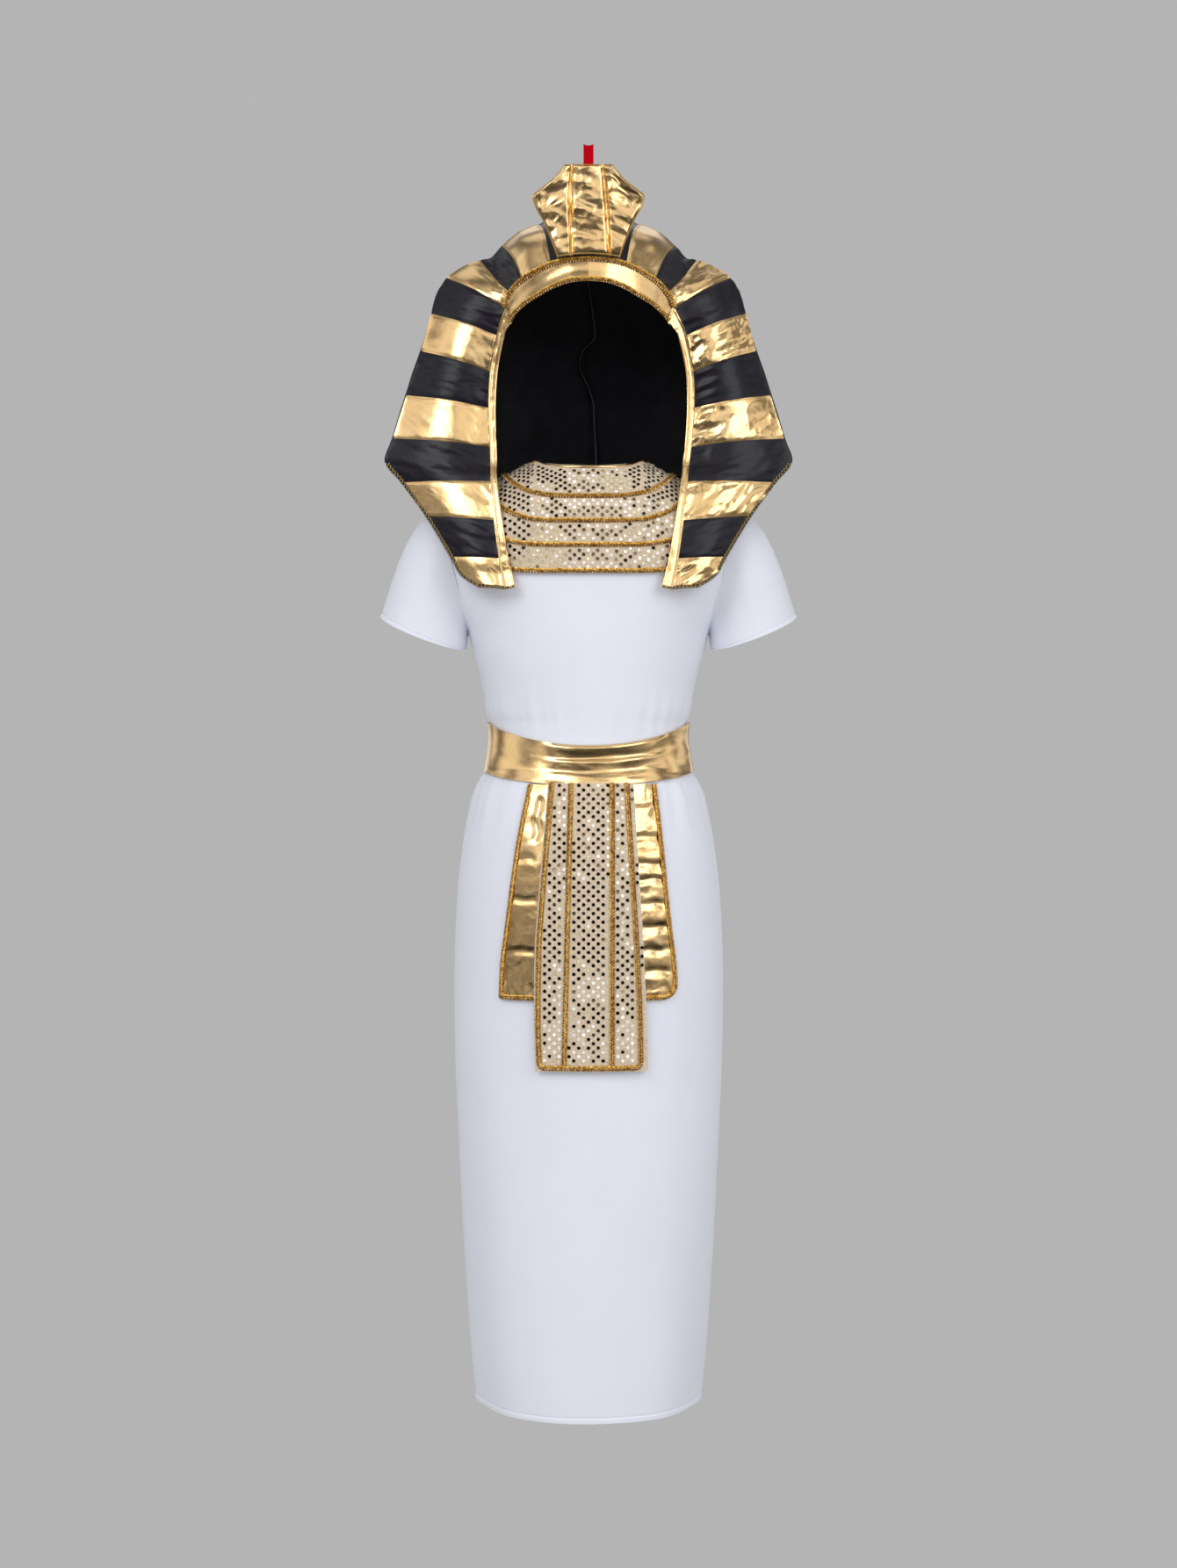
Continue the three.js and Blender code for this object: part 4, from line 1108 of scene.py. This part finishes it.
def apron_relief(s, t, p):
    x, z = p[..., 0], p[..., 2]
    folds = 0
    for n, (place, depth, width, start, end) in enumerate(zip(*PUCKERS.values())):
        across = smooth(start, start + 14, x) * smooth(end, end - 8, x)
        lean = place + 3.5 * noise(vec(x / 18, n, 0), 60)
        folds = folds - depth * across * bell(z, lean, width)
    upright = (x + 50 - 0.14 * (z + 375) + 3 * noise(vec(z / 16, 0, 0), 67)) / 3.6
    folds = folds - 2.0 * np.exp(-(upright**2)) * smooth(-403, -392, z) * smooth(-350, -360, z)
    cloth = vec(x, 0, z)
    crumple = (0.6 + 0.5 * smooth(20, 50, x)) * crumpled(cloth, 15.0, 61)
    soft = crumple + 0.35 * noise(cloth / vec(70, 70, 26), 65)
    low = smooth(-525, -545, z) * 0.5 * creases(cloth / 11, 66)
    rim = smooth(0, 0.03, s) * smooth(1, 0.97, s) * smooth(0, 0.02, t)
    return folds + (soft + low) * rim + 1.0


# A line down the right side of a panel, round its foot and up its left side, inset from each side, with a
# radius for each corner.
def border_path(table, right, left, foot, corner_right, corner_left):
    top, low = table["z"][0], table["z"][-1] + foot
    halves = []
    for side, inset, radius, inwards in (("right", right, corner_right, 1), ("left", left, corner_left, -1)):
        edge = lambda z: -inwards * (at_height(table, side, z) - inset)
        z = np.linspace(top, low + radius, 60)
        turn = np.linspace(0, 90, 12)[1:]
        centre = edge(low + radius) + inwards * radius
        x = np.concatenate([edge(z), centre - inwards * radius * cos(turn)])
        halves.append((x, np.concatenate([z, low + radius - radius * sin(turn)])))
    (xa, za), (xb, zb) = halves
    x = np.concatenate([xa, np.linspace(xa[-1], xb[-1], 30)[1:-1], xb[::-1]])
    return x, np.concatenate([za, np.full(28, low), zb[::-1]])


# The x of the top panel's two inner braids, right and left.
def inner_braids(z):
    return [lerp(*ends, (PANEL_TOP - z) / (PANEL_TOP - APRON_END)) for ends in INNER_BRAIDS.values()]


def make_apron_sequins():
    spots, outs, kinds = [], [], []
    for row, z in enumerate(np.arange(*SEQUIN_ROWS, -GRID_DOWN)):
        left, right = (at_height(TOP_PANEL, side, np.array(z)) for side in ("left", "right"))
        x = np.arange(SEQUIN_FIRST_X + 0.5 * GRID_ACROSS * (row % 2), -SEQUIN_FIRST_X, GRID_ACROSS)
        braids = (-right + TOP_INSET["right"], left - TOP_INSET["left"], *inner_braids(z))
        clear = np.min([np.abs(x - line) for line in braids], axis=0) > BRAID_MARGIN
        for place in x[clear & (x > -right + SEQUIN_MARGIN) & (x < left - SEQUIN_MARGIN)]:
            spot, out = on_front(np.array(place), np.array(z), TOP_LIFT + CLOTH + SEQUIN_LIFT)
            spots.append(spot)
            outs.append(out)
            kinds.append(sequin_look(APRON_PATCHES, place, z, APRON_SHARES))
    make_sequins("apron_sequins", spots, outs, kinds)


def make_sash_and_apron():
    made = wall(sash_face, even(250), even(28), ring=True, thick=1.6, relief=sash_relief)
    cloth_piece("sash", made, ["gold"], (620, 49, 1))
    made = wall(panel_face(UNDER_PANEL, 2, 15), even(90), even(132), lift=APRON_LIFT, relief=apron_relief)
    cut = (195, 215, 0.85)
    cloth_piece("apron_under_panel", made, ["gold"], cut, name="apron_under_cloth")
    made = wall(panel_face(TOP_PANEL), even(50), even(110), lift=TOP_LIFT)
    cut = (112, 282, 0.92)
    cloth_piece("apron_top_panel", made, ["cream"], cut, name="apron_top_cloth")
    borders = (
        ("apron_under", border_path(UNDER_PANEL, 2.6, 2.6, 2.6, 4, 13), APRON_LIFT + 0.6),
        ("apron_top", border_path(TOP_PANEL, *TOP_INSET.values(), 3.6, 5, 6), TOP_LIFT),
    )
    for name, (x, z), lift in borders:
        braid_piece(f"{name}_cord", on_front(x, z, lift + BRAID_RISE), APRON_BRAID_HALF, f"{name}_braid")
    z = np.linspace(-620.7, PANEL_TOP, 120)
    for name, x, cord in zip(("right", "left"), inner_braids(z), (1, -1)):
        line = on_front(x, z, TOP_LIFT + BRAID_RISE)
        braid_piece(f"apron_{name}_cord", line, APRON_BRAID_HALF, f"apron_braid_{name}", cord=cord)
    make_apron_sequins()


# Headdress
SIDES = (("left", 1), ("right", -1))
SEAM_STITCH_IN = 2.0
CROWN_STRENGTH = 0.25
CRUMPLED_SIDE = {"left": 2.6, "right": 0.6}
OVERLOCKS = (("black_thread", 0.0, 1.7), ("thread", 0.5, 4.2))
# The free edge of the overlocked seam inside the hood, which leans to and fro.
SEAM_FLAP = rows_of(
    "z x",
    (203, -0.5),
    (169, 5.2),
    (146, 8.0),
    (128, -6.2),
    (117, -10.0),
    (87, 1.4),
    (69, 6.2),
    (48, 7.1),
    (13, 9.0),
    (-60, 3.0),
)


# Crumples in the metallic cloth, strongest beside the face, and drawn wrinkles in the satin.
def stripe_relief(kind, seed, strength):
    def relief(s, t, p):
        x, y, z = p[..., 0], p[..., 1], p[..., 2]
        if kind == "gold":
            turned = vec(x * 0.8 + z * 0.6, y, z * 0.8 - x * 0.6) / vec(2.4, 1.6, 1.0)
            near = 0.75 + 0.8 * smooth(0.5, 0.05, s) + 0.5 * noise(p / 60, seed + 6)
            body = strength * near * crumpled(turned, 10.0, seed) + 0.4 * noise(p / 28, seed + 5)
        else:
            long = vec((x + 0.4 * z) / 48, y / 48, (z - 0.4 * x) / 11)
            drawn = vec((x + 0.5 * z) / 26, y / 26, (z - 0.5 * x) / 8)
            near = 0.7 + 0.7 * smooth(0.6, 0.05, s)
            body = 0.8 * noise(p / 30, seed) + 0.9 * noise(long, seed + 2)
            body = body + near * (0.6 * creases(long * 1.4, seed + 1) + 0.4 * noise(drawn, seed + 3))
        seam = np.minimum(t, 1 - t)
        return 0.8 * body * smooth(0, 0.16, seam) - 0.6 * (1 - smooth(0, 0.07, seam)) + 0.3

    return relief


# The cut of a stripe: as wide as it is long across the headdress, as long as its widest end.
def stripe_cut(face):
    line = lambda s, t: length_along(face(s, t))[-1]
    run, zero = np.linspace(0, 1, 60), np.zeros(60)
    across = max(line(run, zero + share) for share in (0, 1, 0.5))
    down = max(line(zero + share, run) for share in (0, 1, 0.5))
    middle = np.mean([line(zero + share, run) for share in (0.1, 0.3, 0.5, 0.7, 0.9)])
    return round(across), round(down), round(float(np.clip(middle / down, 0.3, 1)), 2)


def make_stripes():
    seed = 100
    for name, start, end, kind in STRIPES:
        for side, sign in SIDES:
            seed += 7
            mirror = sign < 0
            face = stripe_face(start, end, sign)
            crown = name.startswith("crown")
            relief = stripe_relief(kind, seed, CROWN_STRENGTH if crown else CRUMPLED_SIDE[side])
            across, down = (90, 24) if kind == "gold" else (50, 22)
            made = wall(face, even(across), even(down), mirror=mirror, relief=relief)
            cloth_piece(f"{name}_{side}", made, [kind], stripe_cut(face))
            if kind == "gold":
                lines = [along_edge(face, edge, SEAM_STITCH_IN, CLOTH, relief) for edge in ("bottom", "top")]
                threads = joined([mirrored(stitches(line), mirror) for line in lines])
                mesh_piece(f"{name}_{side}_stitches", threads, slot="gold_cloth", looks=["thread"])


# The threads over the lappet's foot, its lower outer edge and the binding's foot.
def edging_threads(sign, mirror):
    parts = []
    at = np.linspace(CORNER_ROW + 0.1, LAST_ROW - 0.1, 160)
    rim = lambda s, t: striped_point(s, LAST_ROW - t, sign)
    for look, shift, pitch in OVERLOCKS:
        foot = along_edge(stripe_face(17, 19, sign), "bottom", 1.5 + shift, CLOTH + 0.3, low=0.02, high=0.98)
        outer = face_line(rim, 0.982, LAST_ROW - at, CLOTH + 0.3)
        end = along_edge(binding_face(sign), "bottom", 1.5, CLOTH + 0.15, count=30)
        for line, width, radius in ((foot, 3.6, 0.6), (outer, 3.6, 0.6), (end, 3.0, 0.55)):
            parts.append((look, mirrored(overlock(line, width, pitch, radius), mirror)))
    return parts


def make_binding(side, sign):
    mirror = sign < 0
    relief = lambda s, t, p: 0.35 * crumpled(p, 8.0, 71 + sign) - 0.5 * bell(s, 0.75, 0.1)
    face = binding_face(sign)
    name = f"lappet_binding_{side}"
    made = wall(face, even(12), even(200), mirror=mirror, relief=relief)
    cloth_piece(name, made, ["gold"], (12, 300, 0.85))
    rolled = tube(along_edge(face, "left", 0.7, CLOTH - 0.2), 0.95)
    thread = stitches(along_edge(face, "right", 2.2, CLOTH - 0.25, count=300), 1.6, 0.9)
    parts = [("gold", mirrored(rolled, mirror)), ("thread", mirrored(thread, mirror))]
    mixed_piece(f"{name}_edge", parts + edging_threads(sign, mirror), slot="gold_cloth")


# Half of the hood, with a plainer black on its inside.
def make_hood_half(side, mirror):
    relief = lambda s, t, p: 1.6 * noise(p / vec(24, 60, 140), 81) + 0.5 * noise(p / 30, 82)
    steps, rows = 60, 84
    made = wall(hood_face, even(steps), even(rows), mirror=mirror, relief=relief)
    kinds = np.zeros(len(made[1]), int)
    kinds[steps * rows : 2 * steps * rows] = 1
    looks, cut = ["black", "inside"], (250, 390, 0.69)
    cloth_piece(f"hood_back_{side}", made, looks, cut, kinds=kinds.tolist())


def make_hood_seam():
    def flap(s, t):
        z = lerp(-60.0, 203.0, t)
        back_y = smooth_knots(BACK["y"], np.interp(-z, -BACK["z"], np.arange(len(BACK["z"]))))
        return vec(s * at_height(SEAM_FLAP, "x", z), back_y + 1.2 - 9 * s, z)

    made = wall(flap, even(6), even(90), lift=-0.4, thick=0.8)
    edge = overlock(face_line(flap, 0.9, even(90), 0.1), 2.6, 2.0, 0.5)
    mixed_piece("hood_seam_flap", [("inside", made), ("hood_thread", edge)], slot="black_satin")


def brow_relief(s, t, p):
    temple = smooth(0.3, 0.47, np.abs(s - 0.5))
    lengthwise = noise(vec(p[..., 0] / 60, t * 3.0, 0), 75)
    return (0.35 + 0.5 * temple) * lengthwise + 0.7 * temple * crumpled(p, 7.0, 76) + 0.3 * noise(p / 25, 77)


def make_brow():
    made = wall(brow_face(lambda w: 0, lambda w: w), even(220), even(20), relief=brow_relief)
    cloth_piece("brow_band", made, ["gold"], (290, 24, 0.8))
    for name, low, high, half in (
        ("brow_edge", lambda w: 0, lambda w: 5.2, 2.5),
        ("brow_seam", lambda w: w - 3.2, lambda w: w + 3.2, 3.1),
    ):
        line = face_line(brow_face(low, high), np.linspace(0.002, 0.998, 400), 0.5, CLOTH + 1.4)
        braid_piece(f"{name}_cord", line, half, f"{name}_braid")


def make_headdress():
    make_stripes()
    relief = lambda s, t, p: stripe_relief("black", 97, 1)(t, s, p)
    made = wall(crown_face, even(80), even(50), relief=relief)
    cloth_piece("crown_black_middle", made, ["black"], (110, 118, 0.8))
    for side, sign in SIDES:
        make_binding(side, sign)
        make_hood_half(side, sign < 0)
    make_hood_seam()
    make_brow()


# Cobra plate
PLATE_CUTS = {"right": (46, 96, 0.64), "middle": (44, 96, 0.93), "left": (46, 96, 0.64)}
PLATE_THREAD = (1.3, 1.2, 0.3)
TONGUE_HALF = 5.1
TONGUE_LOW, TONGUE_TOP = 284.4, 304.4
TONGUE_NOTCH = 1.4


# The drawn folds of the plate's panel number n. Those of the outer panels slant down towards the middle.
def plate_relief(n):
    seed = 91 + 7 * n

    def relief(s, t, p):
        x, z = p[..., 0], p[..., 2]
        rim = smooth(0, 0.12, s) * smooth(1, 0.88, s) * smooth(-0.04, 0.03, t) * smooth(1, 0.95, t)
        bands = 1.6 * noise(vec(x / 44, 0, z / 14 + x / 36), seed + 3)
        drawn = vec(x / 1.8, 0, z + x * 0.5 * (n - 1))
        return rim * (2.0 + 2.6 * crumpled(drawn, 15.0, seed, 0.45) + bands) - 0.5 * (1 - rim)

    return relief


def make_cobra():
    edge = lambda column, sign=1: lambda z: sign * at_height(COBRA, column, z)
    right_end, right_seam = edge("half", -1), edge("right", -1)
    left_seam, left_end = edge("left"), edge("half")
    edges = {
        "right": (right_end, right_seam),
        "middle": (right_seam, left_seam),
        "left": (left_seam, left_end),
    }
    threads = []
    for n, (name, (left, right)) in enumerate(edges.items()):
        face, relief = plate_face(left, right), plate_relief(n)
        made = wall(face, even(40), even(90), lift=0.15, thick=2.2, relief=relief)
        piece_name = f"cobra_{name}_cloth"
        cut = PLATE_CUTS[name]
        cloth_piece(f"cobra_panel_{name}", made, ["gold"], cut, name=piece_name)
        if name == "middle":
            for end in ("left", "right"):
                threads.append(overlock(along_edge(face, end, 0.1, 2.0, relief), 1.1, 1.2, 0.3))
        for end in ("bottom", "top"):
            threads.append(overlock(along_edge(face, end, 0.7, 1.9, relief), *PLATE_THREAD))
    for side, end in (("right", "left"), ("left", "right")):
        threads.append(overlock(along_edge(plate_face(*edges[side]), end, 0.5, 1.9), *PLATE_THREAD))
    mesh_piece("cobra_stitches", joined(threads), slot="gold_cloth", looks=["thread"])
    made = wall(plate_face(right_end, left_end), even(30), even(40), lift=-1.65, thick=1.5)
    cloth_piece("cobra_backing", made, ["gold"], (113, 96, 0.75))


def make_tongue():
    def tongue(s, t):
        top = TONGUE_TOP - TONGUE_NOTCH * sin(s * 180)
        return vec(lerp(-TONGUE_HALF, TONGUE_HALF, s), PLATE_TOP_Y, lerp(TONGUE_LOW, top, t))

    made = wall(tongue, even(16), even(24), thick=1.2)
    cloth_piece("tongue", made, ["red"], (10.3, 20, 1), name="tongue_ribbon")


# Studio, in metres
BACKDROP = (0.456, 0.456, 0.456, 1)
EYE_HEIGHT = -0.34
FLOOR_HALF, FLOOR_Z = 4, -1.05
ROOM_GREYS = (
    (0.0, 0.08),
    (0.25, 0.1),
    (0.38, 0.24),
    (0.47, 0.66),
    (0.53, 0.85),
    (0.66, 1.0),
    (0.82, 1.0),
    (1.0, 0.8),
)


def add_light(name, size, energy, place, aim=(0, 0, EYE_HEIGHT), mirrored_in_cloth=True):
    data = bpy.data.lights.new(name, "AREA")
    data.shape = "RECTANGLE"
    data.size, data.size_y = size
    data.energy = energy
    light = bpy.data.objects.new(name, data)
    light.location = place
    light.visible_glossy = mirrored_in_cloth
    light.rotation_mode = "QUATERNION"
    light.rotation_quaternion = Vector(np.array(aim) - np.array(place)).to_track_quat("-Z", "Y")
    bpy.context.scene.collection.objects.link(light)


# The room round the object is plain grey where the camera looks. What the cloth mirrors is bright above and
# dark below, with soft screens and gaps between them.
def make_world():
    world = bpy.data.worlds.new("studio")
    bpy.context.scene.world = world
    world.use_nodes = True
    tree = world.node_tree
    link = tree.links.new
    plain = tree.nodes["Background"]
    plain.inputs["Color"].default_value = BACKDROP
    way = node(tree, "ShaderNodeTexCoord").outputs["Generated"]
    split = node(tree, "ShaderNodeSeparateXYZ")
    link(way, split.inputs["Vector"])
    height = node(tree, "ShaderNodeMapRange", **{"From Min": -1.0})
    link(split.outputs["Z"], height.inputs["Value"])
    greys = ramp_over(tree, height.outputs["Result"], [(at, grey, grey, grey) for at, grey in ROOM_GREYS])
    patches = node(tree, "ShaderNodeTexNoise", Scale=2.6, Detail=1.0)
    link(way, patches.inputs["Vector"])
    ends = {"From Min": 0.42, "From Max": 0.56, "To Min": 0.17, "To Max": 1.04}
    screens = node(tree, "ShaderNodeMapRange", **ends)
    link(patches.outputs["Fac"], screens.inputs["Value"])
    room = node(tree, "ShaderNodeBackground")
    link(greys, room.inputs["Color"])
    link(screens.outputs["Result"], room.inputs["Strength"])
    ray = node(tree, "ShaderNodeLightPath")
    both = node(tree, "ShaderNodeMixShader")
    link(ray.outputs["Is Camera Ray"], both.inputs[0])
    link(room.outputs["Background"], both.inputs[1])
    link(plain.outputs["Background"], both.inputs[2])
    link(both.outputs["Shader"], tree.nodes["World Output"].inputs["Surface"])


def make_camera():
    camera_data = bpy.data.cameras.new("camera")
    camera_data.lens = 57.0
    camera_data.sensor_width = 36.0
    camera = bpy.data.objects.new("camera", camera_data)
    camera.location = (0, -2.6, EYE_HEIGHT)
    camera.rotation_euler = (math.radians(90), 0, 0)
    bpy.context.scene.collection.objects.link(camera)
    bpy.context.scene.camera = camera
    bpy.context.scene.view_settings.view_transform = "Standard"


def make_floor():
    backdrop = bpy.data.materials.new("pale_grey")
    backdrop.use_nodes = True
    tree = backdrop.node_tree
    glow = node(tree, "ShaderNodeEmission", Color=BACKDROP)
    tree.links.new(glow.outputs["Emission"], tree.nodes["Material Output"].inputs["Surface"])
    mesh = bpy.data.meshes.new("floor")
    corners = ((-1, -1), (1, -1), (1, 1), (-1, 1))
    mesh.from_pydata([(x * FLOOR_HALF, y * FLOOR_HALF, FLOOR_Z) for x, y in corners], [], [(0, 1, 2, 3)])
    mesh.materials.append(backdrop)
    floor = bpy.data.objects.new("floor", mesh)
    floor.visible_glossy = False
    bpy.context.scene.collection.objects.link(floor)
    floor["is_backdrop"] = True


def make_studio():
    make_camera()
    make_world()
    add_light("key", (1.6, 1.6), 26, (-1.5, -2.2, 1.4))
    add_light("fill", (1.6, 2.0), 22, (1.7, -2.1, 0.9))
    add_light("low", (1.8, 0.8), 12, (0, -2.3, -1.0), aim=(0, 0, -0.7), mirrored_in_cloth=False)
    add_light("rear", (2.0, 2.0), 20, (0, 2.4, 0.6), mirrored_in_cloth=False)
    make_floor()


make_robe()
make_sleeves()
make_collar()
make_sash_and_apron()
make_headdress()
make_cobra()
make_tongue()
make_studio()

plain = lambda box: [list(map(float, corner)) for corner in box]
{"model": plain(model_box), "visual": plain(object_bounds())}
